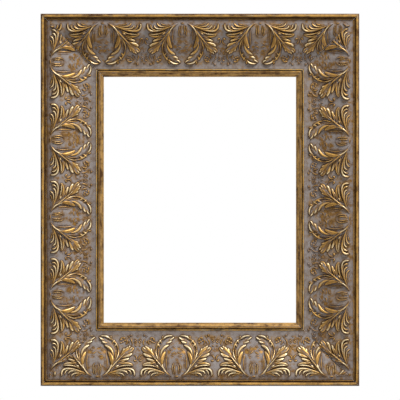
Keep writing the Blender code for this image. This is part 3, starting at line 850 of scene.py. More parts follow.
class Mould:
    """Half a motif: height, bed, gold on the crests, dust, and smoke on the ground, which is wash and, below
    zero, a painted highlight.
    """

    def __init__(self):
        columns = np.arange(CELL / 2, HALF, CELL)
        rows = np.arange(PANEL_START, PANEL_END + CELL, CELL)
        self.u, self.v = np.meshgrid(columns, rows)
        self.height = np.zeros(self.u.shape)
        self.gold = np.zeros(self.u.shape)
        self.bed = np.zeros(self.u.shape)
        self.dust = DUST * np.clip((DUST_END - self.v) / 3, 0, 1)
        self.smoke = SMOKE * np.clip((self.v - SMOKE_START) / 2, 0, 1)

    def along(self, line, margin):
        """The cells near a line, their distance to it, and how far along it they lie."""
        low = line.min(axis=0) - margin
        high = line.max(axis=0) + margin
        near = (self.u > low[0]) & (self.u < high[0]) & (self.v > low[1]) & (self.v < high[1])
        u, v = self.u[near], self.v[near]
        steps = line[1:] - line[:-1]
        lengths = np.hypot(*steps.T)
        starts = np.concatenate([[0], np.cumsum(lengths)])
        best = np.full(u.shape, 1e9)
        share = np.zeros(u.shape)
        for k, (step, length) in enumerate(zip(steps, lengths)):
            du, dv = u - line[k, 0], v - line[k, 1]
            part = np.clip((du * step[0] + dv * step[1]) / length ** 2, 0, 1)
            distance = np.hypot(du - part * step[0], dv - part * step[1])
            closer = distance < best
            best = np.where(closer, distance, best)
            share = np.where(closer, (starts[k] + part * length) / starts[-1], share)
        return near, best, share

    def swelling(self, *spine, width, rise):
        """A wide low bed that the leaves lie on."""
        near, distance, share = self.along(bezier(spine), width)
        swell = np.sin(pi * np.clip(share, 0.02, 0.98))
        across = np.clip(distance / (width * swell ** 0.5), 0, 1)
        top = rise * (1 - across ** 2) ** 1.2 * swell ** 0.4
        self.bed[near] = np.maximum(self.bed[near], top)
        self.height = np.maximum(self.height, self.bed)

    def leaf(self, *spine, width, rise, belly=0.7, root=0.4, taper=1.3, dish=0.0, gold=1.0):
        """A rounded leaf along a spine, slim at its root and blunt at its tip.

        width is half its width and rise its height at the belly, a share of the way along.
        root is the share of its width that it starts with, and a larger taper keeps it slim
        for longer. dish hollows its middle out.
        """
        near, distance, share = self.along(bezier(spine), width)
        grown = np.sin(pi / 2 * np.clip(share / belly, 0, 1))
        tip = np.sqrt(1 - np.clip((share - belly) / (1 - belly), 0, 1) ** 2)
        half = width * (root + (1 - root) * grown ** taper) * np.clip(tip, 0.12, 1)
        across = np.clip(distance / half, 0, 1)
        section = (1 - across ** 2) ** 0.5 * (1 - dish * (1 - across ** 2) ** 2)
        own = rise * (0.4 + 0.6 * grown) * (0.55 + 0.45 * tip) * section
        top = np.where(own > 0, own + ON_BED * self.bed[near], 0)
        higher = top > self.height[near]
        self.height[near] = np.where(higher, top, self.height[near])
        rubbed = gold * np.clip(own / (0.55 * rise) - 0.25, 0, 1) * (0.55 + 0.45 * grown ** 2)
        rubbed = rubbed * np.clip(1 - dish * (1 - across ** 2) ** 1.5, 0, 1)
        self.gold[near] = np.where(higher, rubbed, self.gold[near])

    def boss(self, u, v, size_u, size_v, rise):
        """An oval swelling that leaves can lie on."""
        away = np.hypot((self.u - u) / size_u, (self.v - v) / size_v)
        self.bed = np.maximum(self.bed, rise * np.clip(1 - away ** 2, 0, 1) ** 0.8)
        self.height = np.maximum(self.height, self.bed)

    def rub(self, u, v, size_u, size_v, gold):
        """Gold rubbed on a patch that isn't raised."""
        away = np.hypot((self.u - u) / size_u, (self.v - v) / size_v)
        self.dust = np.maximum(self.dust, gold * np.clip(1.4 - 1.4 * away, 0, 1))

    def wash_and_painted_light(self, u, v, size_u, size_v, depth):
        """Brown wash left on a patch. With a negative depth, wash wiped off it, which lightens it as a
        painted highlight.
        """
        away = np.hypot((self.u - u) / size_u, (self.v - v) / size_v)
        self.smoke = self.smoke + depth * np.clip(1.4 - 1.4 * away, 0, 1)

    def dome(self, u, v, size_u, size_v, rise, gold=0.0):
        """A round or oval knob."""
        away = np.hypot((self.u - u) / size_u, (self.v - v) / size_v)
        top = rise * np.clip(1 - away ** 2, 0, 1) ** 0.8
        top = np.where(top > 0, top + ON_BED * self.bed, 0)
        higher = top > self.height
        self.gold = np.where(higher, gold * np.clip(top / rise, 0, 1), self.gold)
        self.height = np.maximum(self.height, top)


mould = Mould()
print("half a motif is drawn on", mould.height.shape, "cells")

# %% [markdown]
# ### Beds and the oval
#
# The big leaves stand on low swellings, and an oval boss fills the space between the two halves. They
# come first, because every leaf adds its own height to the bed it lies on.

# %% Beds and the oval
mould.swelling((15, 19), (25, 31), (33, 43), (44, 52), width=8.0, rise=1.2)
mould.swelling((13, 17), (29, 29), (27, 56), (9, 67), width=6.0, rise=1.4)
mould.swelling((12, 15), (26, 20), (40, 22), (47, 19), width=6.0, rise=1.0)
mould.boss(0, 33, 18, 23, 1.2)
print("highest bed", round(float(mould.height.max()), 2), "mm")

# %% [markdown]
# ### The curls
#
# Five ribs sweep out under the rim and curl back up, one inside the other. Three of them spring from
# beside the top of the oval. Below them a slim leaf points sideways, with a bright edge along its
# back and a small lobe at its foot. Two short leaves make a hook where the next motif begins.

# %% The curls
mould.leaf((15, 14.2), (22, 16.2), (28, 17), (31.5, 13.2), width=0.8, rise=1.5, belly=0.8, taper=2, gold=0.6)
mould.leaf(
    (10, 13.4), (22, 18.6), (34, 21.5), (36.6, 13.2),
    width=1.1, rise=2.3, belly=0.88, taper=2.4, gold=0.85,
)
mould.leaf(
    (8.6, 14), (24, 21.6), (40, 25.5), (40.6, 16.4),
    width=1.2, rise=2.8, belly=0.88, taper=2.4, gold=0.9,
)
mould.leaf(
    (31, 23), (38, 24.4), (46.6, 23.6), (45.4, 15.6),
    width=1.1, rise=2.6, belly=0.8, taper=1.8, gold=0.85,
)
mould.leaf((8, 14.6), (26, 23), (53.4, 33), (50, 13.8), width=1.5, rise=3.6, belly=0.85, taper=2.2, gold=0.9)
mould.leaf((29, 30.2), (34, 33), (42, 33.6), (48.4, 29.8), width=1.8, rise=2.6, belly=0.5, gold=0.75)
mould.leaf(
    (18, 19.5), (27, 27.5), (35, 31), (48.6, 28.8),
    width=1.1, rise=3.3, belly=0.75, taper=2, gold=0.9,
)
mould.leaf((24.5, 26.4), (26, 27.6), (27.5, 28.6), (29.6, 29.2), width=1.3, rise=2.6, belly=0.6, gold=0.9)
mould.leaf((46.5, 43.8), (51, 45), (54.8, 41.5), (53.2, 36.8), width=0.9, rise=1.6, gold=0.5)
mould.leaf((53.3, 37.6), (52.8, 34.8), (50.2, 34.8), (49.8, 37.6), width=1.0, rise=1.8, gold=0.7)
print("highest curl", round(float(mould.height.max()), 2), "mm")

# %% [markdown]
# ### The acanthus leaf
#
# The leaf has a broad low body. Four lobes fan out over it, each broader than the one before it. Two
# small points stand on its inner edge, and a fifth lobe with two scallops closes its end. One long rib
# runs down from the root of the curls and holds them together. It is drawn last and stands highest.

# %% The acanthus leaf
mould.leaf((26, 36), (32, 42), (38, 47), (44.6, 52), width=4.0, rise=2.3, belly=0.7, root=0.2, gold=0.7)
mould.leaf((26, 31.4), (31, 32.8), (34, 34), (37.8, 36), width=1.2, rise=2.2, taper=2, gold=0.7)
mould.leaf((29, 35), (34, 36.6), (38.6, 37.2), (43, 39.4), width=1.8, rise=2.7, taper=1.8, gold=0.9)
mould.leaf((31.5, 39.4), (38, 42.4), (43, 43.4), (47.4, 46.4), width=2.4, rise=3.2, root=0.2, taper=1.4)
mould.leaf((34, 43.5), (40, 47.6), (45.4, 49.6), (49.2, 54.8), width=2.7, rise=3.5, root=0.2, dish=0.35)
mould.leaf((37, 50), (39.6, 52), (40.8, 54), (41, 56.2), width=1.6, rise=3.2, gold=0.9)
mould.leaf((33.6, 47), (35, 49.6), (36, 51.4), (36.4, 53.8), width=1.6, rise=3.1, gold=0.9)
mould.leaf((29.5, 38.5), (33, 46), (38, 51.5), (45, 55.8), width=2.7, rise=3.8, root=0.15, dish=0.15)
mould.leaf((41, 51), (43.6, 52), (45.6, 53), (47.6, 55.4), width=1.3, rise=3.7, gold=0.95)
mould.leaf((39.6, 52.6), (41.6, 54), (43.2, 55.4), (44.4, 57.6), width=1.3, rise=3.6, gold=0.95)
mould.leaf(
    (9, 14.8), (18, 22.4), (27, 36.4), (38, 47.4),
    width=1.1, rise=4.2, belly=0.5, root=0.6, gold=0.75,
)
print("the gold is", round(float(mould.gold.mean()), 2), "deep on average")

# %% [markdown]
# ### The leaf that wraps the oval
#
# It runs down beside the oval and turns in under it. Its middle is a shallow grey trough between thin
# rims, its outer edge has two teeth, and gilt lobes fold over at its end. Inside it stands a smooth
# blade on a thin stem, one of the brightest pieces of the motif, and two thin lines follow the oval.

# %% The leaf round the oval
mould.leaf((17, 20), (25.6, 32), (27, 55), (5, 69.4), width=4.6, rise=2.4, belly=0.62, dish=0.5, gold=0.25)
mould.leaf((22, 31), (27.4, 39), (29.6, 45), (29.4, 51.6), width=1.1, rise=2.7, belly=0.5, gold=0.8)
mould.leaf((20, 28), (25.2, 37), (27, 46), (25, 54.6), width=0.9, rise=2.7, belly=0.5, gold=0.45)
mould.leaf(
    (21.6, 36), (24.4, 49), (18.6, 55.6), (10.4, 58.2),
    width=2.2, rise=3.6, belly=0.7, root=0.25, taper=1.8, gold=0.85,
)
mould.leaf((16.6, 60.6), (12.6, 61.2), (9.4, 62), (6.8, 64.2), width=1.7, rise=2.9, belly=0.7, taper=2)
mould.leaf((12.4, 64.2), (8.4, 65.8), (5.2, 67.2), (3.2, 69.8), width=1.3, rise=2.9, belly=0.7)
mould.leaf((19.6, 64.6), (17.6, 69.8), (12, 72.4), (4.6, 70.8), width=1.4, rise=3.3, belly=0.4)
mould.leaf((18.8, 66.4), (20, 68), (20, 69.8), (18.4, 71.4), width=1.0, rise=2.4, gold=0.7)
mould.leaf((28.6, 49), (29.4, 57), (25.4, 63), (19, 67.4), width=1.2, rise=2.6, belly=0.5, gold=0.7)
mould.leaf((21, 59.6), (21.6, 62), (22.6, 64), (24.6, 65.4), width=1.3, rise=2.7, gold=0.8)
mould.leaf((23.4, 54.4), (24.4, 56.8), (25.6, 58.8), (27.2, 60.2), width=1.4, rise=2.6, gold=0.8)
mould.leaf((7.4, 14.4), (13.6, 17), (18.8, 22.6), (20.2, 31.5), width=1.2, rise=3.6, belly=0.6, gold=1.1)
mould.leaf(
    (19.4, 27), (22.2, 35), (20.4, 42.6), (15.4, 49.4),
    width=3.0, rise=4.2, belly=0.5, root=0.15, dish=0.15, gold=0.85,
)
mould.leaf((11.4, 18), (15.2, 26), (15.4, 37), (12.6, 46.6), width=0.7, rise=1.3, belly=0.5, gold=0.6)
mould.leaf((9.6, 21), (12, 27), (12, 36), (10.6, 43), width=0.6, rise=1.2, belly=0.5, gold=0.3)
print("highest leaf", round(float(mould.height.max()), 2), "mm")

# %% [markdown]
# ### Fine lines
#
# A small knob sits at the top of the oval. Two narrow loops, one inside the other, hang from it to the
# oval's middle, and short curls fill the space below. Gold was rubbed on the ground in a few places,
# and brown wash was left in others. Where wash is wiped off, the lighter patches are painted highlights.
# Above the inner fillet a vine crosses to the next motif, with a ring, a bunch of berries, single berries
# and small hooks.

# %% Fine lines
mould.dome(0, 13.6, 3.4, 1.2, 1.5, gold=0.5)
mould.leaf((0, 33.4), (5.4, 33.6), (7.4, 27), (3.8, 15.6), width=0.7, rise=1.9, belly=0.4, gold=0.8)
mould.leaf((0, 29.8), (3, 29.8), (4, 25), (1.6, 15.6), width=0.7, rise=1.8, belly=0.4, gold=0.8)
mould.leaf((1.2, 40), (2.6, 42.2), (5.6, 43.6), (8.8, 43.6), width=0.7, rise=1.3, belly=0.6, gold=0.5)
mould.leaf((1.4, 50.4), (2.2, 47.4), (4.4, 46), (7.6, 46.6), width=0.8, rise=1.3, belly=0.6, gold=0.6)
mould.leaf((4, 51), (5.8, 50), (8, 50.6), (9.4, 53), width=0.7, rise=1.2, gold=0.5)
mould.leaf((2.2, 57.4), (2.6, 55.4), (4.6, 54.4), (6.8, 55.2), width=0.7, rise=1.1, gold=0.45)
for u, v, gold in ((6, 41, 0.4), (10, 48, 0.45), (3, 53, 0.45), (5, 61, 0.3), (52, 50, 0.3)):
    mould.rub(u, v, 5.0, 4.0, gold)
mould.wash_and_painted_light(0, 34, 9.0, 8.0, 0.2)
# Wash wiped off these patches lightens them: painted highlights.
for u, v, depth in ((24, 30, -0.3), (15, 65, -0.5), (25, 58, -0.3), (36, 66, -0.25), (48, 64, -0.25)):
    mould.wash_and_painted_light(u, v, 9.0, 8.0, depth)
print("the deepest smoke is", round(float(mould.smoke.max()), 2))

# %% The vine
mould.leaf((30.4, 60), (29.6, 66.4), (34, 71.4), (38.8, 67), width=0.8, rise=1.7, belly=0.6, gold=0.55)
mould.leaf((38.8, 67), (41, 64.6), (40.4, 60.6), (38, 58.6), width=0.8, rise=1.7, belly=0.5, gold=0.55)
mould.leaf((42.6, 68), (46, 66), (48.4, 62), (46.6, 57.6), width=0.8, rise=1.6, belly=0.5, gold=0.55)
mould.leaf((49, 64.4), (49.2, 60.8), (53.6, 60.8), (53.8, 64.4), width=0.6, rise=1.5, gold=0.55)
mould.leaf((49, 64.4), (49.2, 67.6), (53.6, 67.6), (53.8, 64.4), width=0.6, rise=1.5, gold=0.55)
mould.leaf((51.6, 59.6), (50.4, 58), (51.6, 56.2), (53.6, 56.8), width=0.6, rise=1.3, gold=0.5)
mould.dome(51.4, 64.2, 1.2, 1.2, 1.5, gold=0.5)
mould.dome(55, 70.4, 1.2, 1.2, 1.4, gold=0.5)
mould.dome(55, 53, 1.1, 2.0, 1.3, gold=0.45)
mould.dome(45.6, 72, 1.7, 1.5, 1.7, gold=0.55)
mould.leaf((39.8, 70.6), (41.6, 71.8), (43.4, 70.4), (42.6, 68), width=0.6, rise=1.3, gold=0.5)
mould.leaf((44.6, 60.8), (42.6, 60.2), (42, 62.4), (43.6, 64), width=0.6, rise=1.3, gold=0.5)
for u, v in ((32.8, 65.8), (36.2, 68), (34.8, 62.6), (37.4, 64.6), (32.2, 61.6)):
    mould.dome(u, v, 1.5, 1.5, 1.6, gold=0.6)
print("the motif is drawn")

# %% [markdown]
# ## Pressing the strips
#
# A strip is a fine grid bent to the panel, with the mould's height added to it. Its columns run from
# mitre to mitre, so the leaves are cut where the rails meet, as on the real frame. In the last few
# millimetres beside a joint they are a little lower and duller, as if the joint had been filed.
#
# What lies lower than its surroundings gets the brown wash. How low it lies is the drawn height set
# against a blurred copy of itself, and three blurs find fine lines, narrow gaps and wide grounds. Crests
# are found the same way, and keep the most gold, which turns pale there: partly rubbed gold, partly a
# painted highlight.

# %% Wash and gold from the height
relief = soften(mould.height, 0.2)
tight = soften(relief, 0.45) - relief
narrow = soften(relief, 0.8) - relief
wide = soften(relief, 2.2) - relief
hollow_map = np.clip(5.0 * tight + 0.8 * narrow + 0.14 * wide - 0.04, 0, 0.95)
hollow_map = np.maximum(hollow_map, 0.2 * soften(mould.gold, 4.0) - 0.5 * np.clip(-narrow, 0, 1))
hollow_map = np.clip(hollow_map + soften(mould.smoke, 0.8), 0, 0.95)
# Crests get more gold, and where it is palest it is partly a painted highlight.
crest = np.clip(-3.0 * tight - 1.5 * narrow, 0, 1)
gilded = soften(mould.gold, 0.25) * (0.47 + 0.75 * crest)
gilded = np.maximum(gilded, 0.3 * soften(mould.gold, 2.6))
gilded = np.maximum(gilded, soften(mould.dust, 0.8)) * np.clip(1.1 - 1.2 * hollow_map, 0, 1)
gilded = gilded - 0.2 * np.clip((mould.v - DUST_END) / 2, 0, 1)
print("the wash is", round(float(hollow_map.mean()), 2), "deep on average")
print("the gold is", round(float(gilded.mean()), 2), "deep on average")

# %% Reading a drawing


def sample(field, u, v):
    """The field between its cells, mirrored and repeated along the rail."""
    folded = np.abs((u + HALF) % REPEAT - HALF)
    x = np.clip(folded / CELL - 0.5, 0, field.shape[1] - 1.001)
    y = np.clip((v - PANEL_START) / CELL, 0, field.shape[0] - 1.001)
    column, row = x.astype(int), y.astype(int)
    fx, fy = x - column, y - row
    upper = field[row, column] * (1 - fx) + field[row, column + 1] * fx
    lower = field[row + 1, column] * (1 - fx) + field[row + 1, column + 1] * fx
    return upper * (1 - fy) + lower * fy


print("height on the axis", round(float(sample(relief, np.array([0.0]), np.array([33.0]))[0]), 2), "mm")

# %% A pressed strip
ROW_STEP = 0.58
COLUMN_STEP = 0.65
UNDER_ROWS = 12
JOINT_FADE = 3.0
KEPT_AT_JOINT = 0.7
JOINT_STAIN = 0.3 * MITRE_SHADE
RIM_SHADE_WIDTH = 6.0


def strip_mesh(side):
    """A strip as one closed solid: the leaves on top and a coarse sheet underneath."""
    low = PANEL_START + CLEARANCE
    high = PANEL_END - CLEARANCE
    per_row = round((high - low) / ROW_STEP / UNDER_ROWS)
    rows = np.linspace(low, high, per_row * UNDER_ROWS + 1)
    columns = np.linspace(-1, 1, round(2 * side.reach(low) / COLUMN_STEP) + 1)
    v = np.repeat(rows[:, None], len(columns), axis=1)
    u = side.reach(rows)[:, None] * columns[None, :]
    to_joint = side.reach(rows)[:, None] - np.abs(u)
    kept = KEPT_AT_JOINT + (1 - KEPT_AT_JOINT) * np.clip(to_joint / JOINT_FADE, 0, 1)
    near = side.from_axis(u)
    rise = sample(relief, near, v) * kept
    # The side's own factor on the gold is painted light: it makes the leaves brighter on some sides.
    gold = sample(gilded, near, v) * kept ** 2 * side.painted_light_gold
    hollow = sample(hollow_map, near, v) * kept ** 2
    # Shade painted under the rim, deeper on some sides than on others.
    rim_shade = side.painted_rim_shade * np.clip(1 - (v - low) / RIM_SHADE_WIDTH, 0, 1)
    joint = JOINT_STAIN * np.clip(1 - to_joint / (2 * JOINT_WASH), 0, 1)
    hollow = np.clip(hollow + rim_shade + joint, 0, 1)
    top = side.place(u, v, panel(v) + rise).reshape(-1, 3)
    under_v = rows[::per_row]
    under_u = side.reach(under_v)[:, None] * np.array([-1.0, 1.0])[None, :]
    under_v = np.repeat(under_v[:, None], 2, axis=1)
    under = side.place(under_u, under_v, panel(under_v) - LEAF_SHEET).reshape(-1, 3)
    points = np.concatenate([top, under])
    nv, nu = v.shape
    index = np.arange(nv * nu).reshape(nv, nu)
    quads = np.stack([index[:-1, :-1], index[:-1, 1:], index[1:, 1:], index[1:, :-1]], axis=-1)
    faces = quads.reshape(-1, 4).tolist()
    below = nv * nu + np.arange(2 * (UNDER_ROWS + 1)).reshape(-1, 2)
    for k in range(UNDER_ROWS):
        faces.append([below[k, 0], below[k + 1, 0], below[k + 1, 1], below[k, 1]])
    faces.append(list(index[0]) + [below[0, 1], below[0, 0]])
    faces.append(list(index[-1]) + [below[-1, 1], below[-1, 0]])
    faces.append(list(index[:, 0]) + list(below[::-1, 0]))
    faces.append(list(index[:, -1]) + list(below[::-1, 1]))
    mesh = mesh_from(f"pressed_leaves_{side.name}", points, faces)
    none = np.zeros(len(under))
    carry(mesh, "gilding", np.concatenate([gold.ravel(), none]))
    carry(mesh, "hollow", np.concatenate([hollow.ravel(), none]))
    return mesh


print("rows are about", ROW_STEP, "mm apart and columns", COLUMN_STEP, "mm")

# %% The four strips
for side in SIDES:
    mesh = strip_mesh(side)
    smooth(mesh, 80)
    show(mesh.name, mesh, [TONED_GILDING], "frame", f"ornament_{side.name}")
    print(mesh.name, "has", len(mesh.polygons), "faces")

# %% [markdown]
# ## Screws
#
# A pan head screw is pressed from wire, and its thread is rolled on. All but the cross in its head is
# round about one line, so it can be turned as on a lathe: a profile is spun round its axis. Low rings
# stand for the thread, because its spiral is hidden in the wood. The cross is cut out with two tapered
# blades. Screws stop wherever they bite, so each is turned by an angle made from its name.

# %% Screws
SCREW_HEAD_RADIUS = 3.2
SCREW_HEAD_HEIGHT = 2.0
SCREW_LENGTH = 12.0
SHANK_RADIUS = 1.5
THREAD_PITCH = 1.1
THREAD_DEPTH = 0.25
CROSS_TURN = 20


def screw_profile():
    """The screw's outline from its point to the top of its head, which starts at 0."""
    profile = [(0, -SCREW_LENGTH)]
    y = -SCREW_LENGTH + 1.0
    while y < -1.5:
        core = SHANK_RADIUS * min(1, 0.35 + (y + SCREW_LENGTH) / 4) - THREAD_DEPTH
        profile += [(core, y), (core + THREAD_DEPTH, y + THREAD_PITCH / 2)]
        y += THREAD_PITCH
    profile += [(SHANK_RADIUS - 0.2, -1.2), (SHANK_RADIUS, -0.2), (SHANK_RADIUS, 0)]
    profile += [(SCREW_HEAD_RADIUS - 0.15, 0), (SCREW_HEAD_RADIUS, 0.15)]
    for k in range(9):
        angle = pi / 2 * k / 9
        profile.append((SCREW_HEAD_RADIUS * cos(angle), 0.45 + (SCREW_HEAD_HEIGHT - 0.45) * sin(angle)))
    profile.append((0, SCREW_HEAD_HEIGHT))
    return profile


def blade(turn):
    """One tapered blade of the driver that presses the cross."""
    points = []
    for y, half in ((SCREW_HEAD_HEIGHT + 0.3, 1.9), (SCREW_HEAD_HEIGHT - 1.25, 0.8)):
        for x, z in ((-half, -0.32), (half, -0.32), (half, 0.32), (-half, 0.32)):
            a = x * cos(turn) - z * sin(turn)
            b = x * sin(turn) + z * cos(turn)
            points.append((a * MM, y * MM, b * MM))
    faces = [(0, 1, 2, 3), (4, 5, 6, 7)]
    faces += [(i, (i + 1) % 4, 4 + (i + 1) % 4, 4 + i) for i in range(4)]
    return mesh_from("blade", points, faces)


def screw_mesh():
    mesh = lathe(screw_profile(), 32)
    mesh = cut_out(mesh, [blade(radians(CROSS_TURN)), blade(radians(CROSS_TURN + 90))])
    smooth(mesh, 35)
    return mesh


screw = screw_mesh()
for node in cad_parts:
    if "screw" in node:
        low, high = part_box(node)
        mesh = screw.copy()
        turn = Matrix.Rotation(radians(len(node) * 47 + ord(node[-3]) * 13), 4, "Y")
        middle = (low + high) / 2
        mesh.transform(Matrix.Translation((middle.x, high.y - SCREW_HEAD_HEIGHT * MM, middle.z)) @ turn)
        show(f"{node}_head", mesh, [ZINC], "frame", node)
print("one screw has", len(screw.polygons), "faces")

# %% [markdown]
# ## D-ring hangers
#
# A strap is one strip of sheet folded round the ring's straight leg, so two layers lie flat and the
# fold makes a barrel. The ring is wire bent to a D. A curve with a round bevel could make it, but a loop
# that sets one circle after another is as short, and gives just the faces that are needed. The path
# is flat and closed, so the circles never twist.

# %% Rings of wire
WIRE_RADIUS = 1.1
RING_LEG = 16.0
RING_REACH = 13.0
RING_CORNER = 2.6
BARREL_RADIUS = 2.1
PIVOT_Y = CLEARANCE + BARREL_RADIUS
RING_REST_Y = 1.7                   # the bow's middle line, where it lies up against the wood
RING_LEAN = (PIVOT_Y - RING_REST_Y) / RING_REACH
WIRE_SIDES = 14


def bend(centre_x, centre_z, radius_x, radius_z, start, end, steps):
    """Points on part of an ellipse, both ends included. Angles are in degrees."""
    points = []
    for i in range(steps + 1):
        angle = radians(start + (end - start) * i / steps)
        points.append((centre_x + radius_x * cos(angle), centre_z + radius_z * sin(angle)))
    return points


def tube_faces(count, sides):
    """The faces of a closed tube that is given as a loop of count rings of points."""
    faces = []
    for i in range(count):
        for k in range(sides):
            a, b = i * sides, (i + 1) % count * sides
            faces.append((a + k, a + (k + 1) % sides, b + (k + 1) % sides, b + k))
    return faces


def ring_mesh():
    """A closed wire: a straight leg, two tight corners and a wide bow."""
    half = RING_LEG / 2
    path = bend(RING_CORNER - half, RING_CORNER, RING_CORNER, RING_CORNER, 270, 180, 8)
    path += bend(0, RING_CORNER, half, RING_REACH - RING_CORNER, 180, 0, 40)[1:-1]
    path += bend(half - RING_CORNER, RING_CORNER, RING_CORNER, RING_CORNER, 0, -90, 8)
    path = np.array(path)
    ahead = np.roll(path, -1, axis=0) - np.roll(path, 1, axis=0)
    ahead /= np.hypot(*ahead.T)[:, None]
    points = []
    for (x, z), (tx, tz) in zip(path, ahead):
        for k in range(WIRE_SIDES):
            angle = 2 * pi * k / WIRE_SIDES
            out = WIRE_RADIUS * cos(angle)
            points.append((x - tz * out, WIRE_RADIUS * sin(angle), z + tx * out))
    faces = tube_faces(len(path), WIRE_SIDES)
    mesh = mesh_from("ring", [Vector(p) * MM for p in points], faces)
    mesh.shade_smooth()
    return mesh


print("a ring leans", round(RING_LEAN * 180 / pi, 1), "degrees towards the wood")

# %% Straps of sheet
SHEET = 0.8
STRAP_HALF = 5.0
STRAP_LENGTH = 32.0
STRAP_EDGE = 0.12
BARREL_SIDES = 28


def plate(outline_points, near, far, edge):
    """A flat plate between two heights, with its edges rounded over."""
    points = [(x * MM, near * MM, z * MM) for x, z in outline_points]
    points += [(x * MM, far * MM, z * MM) for x, z in outline_points]
    count = len(outline_points)
    faces = [tuple(range(count)), tuple(range(count, 2 * count))]
    faces += [(i, (i + 1) % count, count + (i + 1) % count, count + i) for i in range(count)]
    mesh = mesh_from("plate", points, faces)
    bm = bmesh.new()
    bm.from_mesh(mesh)
    rims = [e for e in bm.edges if abs(e.verts[0].co.y - e.verts[1].co.y) < 1e-7]
    bmesh.ops.bevel(bm, geom=rims, offset=edge * MM, segments=3, affect="EDGES", profile=0.5)
    bm.to_mesh(mesh)
    bm.free()
    return mesh


def barrel_mesh():
    """The fold of the strap: a tube round the ring's leg."""
    points = []
    hole = WIRE_RADIUS + 0.2
    end = STRAP_HALF
    profile = [(-end, hole), (-end, BARREL_RADIUS - 0.3), (0.3 - end, BARREL_RADIUS)]
    profile += [(-x, radius) for x, radius in reversed(profile)]
    for x, radius in profile:
        for k in range(BARREL_SIDES):
            angle = 2 * pi * k / BARREL_SIDES
            points.append((x * MM, radius * cos(angle) * MM, radius * sin(angle) * MM))
    return mesh_from("barrel", points, tube_faces(len(profile), BARREL_SIDES))


def joined(meshes):
    """Several meshes as one. They touch, but keep their own faces."""
    bm = bmesh.new()
    for mesh in meshes:
        bm.from_mesh(mesh)
    result = bpy.data.meshes.new("joined")
    bm.to_mesh(result)
    bm.free()
    return result


def strap_mesh():
    """Two layers of sheet and their fold. Y is measured from the ring's leg."""
    foot = bend(0, STRAP_HALF - STRAP_LENGTH, STRAP_HALF, STRAP_HALF, 180, 360, 20)
    shape = [(STRAP_HALF, 0), (-STRAP_HALF, 0)] + foot
    low = CLEARANCE - PIVOT_Y
    under = plate(shape, low, low + SHEET, STRAP_EDGE)
    over = plate(shape, low + SHEET, low + 2 * SHEET, STRAP_EDGE)
    mesh = joined([under, over, barrel_mesh()])
    smooth(mesh, 40)
    return mesh


print("a strap is", 2 * SHEET, "mm thick")

# %% Two hangers
HANGER_INSET = 45.0
HANGER_FROM_TOP = 145.0
PIVOT_X = OUTER_WIDTH / 2 - HANGER_INSET
PIVOT_Z = OUTER_HEIGHT / 2 - HANGER_FROM_TOP

for name, sign in (("left", -1), ("right", 1)):
    pivot = Matrix.Translation(Vector((sign * PIVOT_X, PIVOT_Y, PIVOT_Z)) * MM)
    ring = ring_mesh()
    ring.transform(pivot @ Matrix.Rotation(RING_LEAN, 4, "X"))
    show(f"d_ring_{name}", ring, [NICKEL], f"ring_{name}", f"hanger_ring_{name}")
    strap = strap_mesh()
    strap.transform(pivot)
    show(f"ring_strap_{name}", strap, [ZINC], "frame", f"hanger_strap_{name}")
print("a ring has", len(ring.polygons), "faces, a strap", len(strap.polygons))

# %% [markdown]
# ## Turn buttons and bumpers
#
# A turn button is a tongue of sheet steel on one screw. Turned inwards it holds a backing board, turned
# aside it lets it out. It was stamped, so here too it is a flat outline given a thickness, with slightly
# rounded edges and a hole cut for the screw.
#
# A bumper is a small round of felt that keeps the frame off the wall. It is turned like the screws. A
# perfect disc would look like plastic, so chance pulls its points in a little, and its face is as
# uneven as felt is.

# %% Turn buttons
BUTTON_RADIUS = 5.0
BUTTON_NOSE = 3.4
BUTTON_REACH = 17.0
BUTTON_SHEET = 1.2
BUTTON_FROM_RABBET = 8.0
BUTTON_X = OUTER_WIDTH / 2 - RABBET_WALL + BUTTON_FROM_RABBET
BUTTON_Z = 90.0
BUTTON_HOLE = 1.8
BUTTON_EDGE = 0.25


def button_mesh():
    """A tongue between two arcs, whose straight sides touch both."""
    lean = (BUTTON_RADIUS - BUTTON_NOSE) / BUTTON_REACH * 180 / pi
    shape = bend(0, 0, BUTTON_RADIUS, BUTTON_RADIUS, -lean, 180 + lean, 24)
    shape += bend(0, -BUTTON_REACH, BUTTON_NOSE, BUTTON_NOSE, 180 + lean, 360 - lean, 16)
    mesh = plate(shape, 0, BUTTON_SHEET, BUTTON_EDGE)
    hole = [(0, -1), (BUTTON_HOLE, -1), (BUTTON_HOLE, 3), (0, 3)]
    mesh = cut_out(mesh, [lathe(hole, ROD_SIDES)])
    smooth(mesh, 40)
    return mesh


for name, sign in (("left", -1), ("right", 1)):
    for level, up in (("upper", 1), ("lower", -1)):
        mesh = button_mesh()
        mesh.transform(Matrix.Translation(Vector((sign * BUTTON_X, CLEARANCE, up * BUTTON_Z)) * MM))
        body = f"button_{name}_{level}"
        show(f"tongue_{name}_{level}", mesh, [ZINC], body, f"turn_button_{name}_{level}")
print("a turn button has", len(mesh.polygons), "faces")

# %% Bumpers
BUMPER_RADIUS = 6.0
BUMPER_HEIGHT = 3.0
BUMPER_EDGE = 0.9
UNEVEN = 0.012


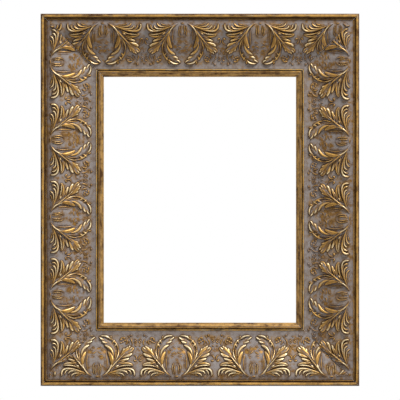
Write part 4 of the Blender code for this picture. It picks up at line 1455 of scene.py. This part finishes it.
def bumper_mesh(centre):
    profile = [(0, 0)]
    profile += [(r, 0) for r in np.linspace(0.5, BUMPER_RADIUS - 0.2, 12)]
    shoulder = BUMPER_HEIGHT - BUMPER_EDGE
    profile += [(BUMPER_RADIUS, 0.3), (BUMPER_RADIUS, 1.2), (BUMPER_RADIUS, shoulder)]
    profile += bend(BUMPER_RADIUS - BUMPER_EDGE, shoulder, BUMPER_EDGE, BUMPER_EDGE, 15, 90, 5)
    profile += [(r, BUMPER_HEIGHT) for r in np.linspace(BUMPER_RADIUS - 1.3, 0.5, 11)]
    profile.append((0, BUMPER_HEIGHT))
    mesh = lathe(profile, 48)
    chance = np.random.default_rng(7)
    for vertex in mesh.vertices:
        if vertex.co.y > 0.0005:
            vertex.co *= 1 - UNEVEN * chance.random()
    mesh.transform(Matrix.Translation(centre))
    mesh.shade_smooth()
    return mesh


for name in ("left", "right"):
    low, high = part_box(f"bumper_{name}")
    centre = Vector(((low.x + high.x) / 2, low.y, (low.z + high.z) / 2))
    show(f"felt_bumper_{name}", bumper_mesh(centre), [FELT], "frame", f"bumper_{name}")
print("bumpers are on")

# %% [markdown]
# ## Corner nails
#
# The V-nails of the bare model already have their true shape, so they stay and only get their steel.

# %% Corner nails
for node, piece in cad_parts.items():
    if node.startswith("v_nail"):
        for holder in piece.material_slots:
            holder.material = NAIL_STEEL
print("nails:", sum(node.startswith("v_nail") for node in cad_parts))

# %% [markdown]
# ## Floor
#
# The frame stands on a plain pale floor. The camera looks along it, so it doesn't show from the front,
# but it bounces light up onto the lower rail, and it carries the shadow in the other views.

# %% Floor
FLOOR_SIZE = 6.0
FLOOR_GAP = 0.2 * MM


def floor_finish():
    finish = Finish("pale_floor", Roughness=0.8)
    cloud = finish.noise(0.4, detail=3)
    return finish.paint(Base_Color=finish.mix(cloud, colour(236, 235, 232), colour(240, 239, 237)))


half = FLOOR_SIZE / 2
level = -OUTER_HEIGHT / 2 * MM - FLOOR_GAP
corners = [(-half, -half, level), (half, -half, level), (half, half, level), (-half, half, level)]
floor_mesh = bpy.data.meshes.new("floor")
floor_mesh.from_pydata(corners, [], [(0, 1, 2, 3)])
floor_mesh.materials.append(floor_finish())
floor = bpy.data.objects.new("floor", floor_mesh)
bpy.context.scene.collection.objects.link(floor)
print("floor at", round(level, 4), "m")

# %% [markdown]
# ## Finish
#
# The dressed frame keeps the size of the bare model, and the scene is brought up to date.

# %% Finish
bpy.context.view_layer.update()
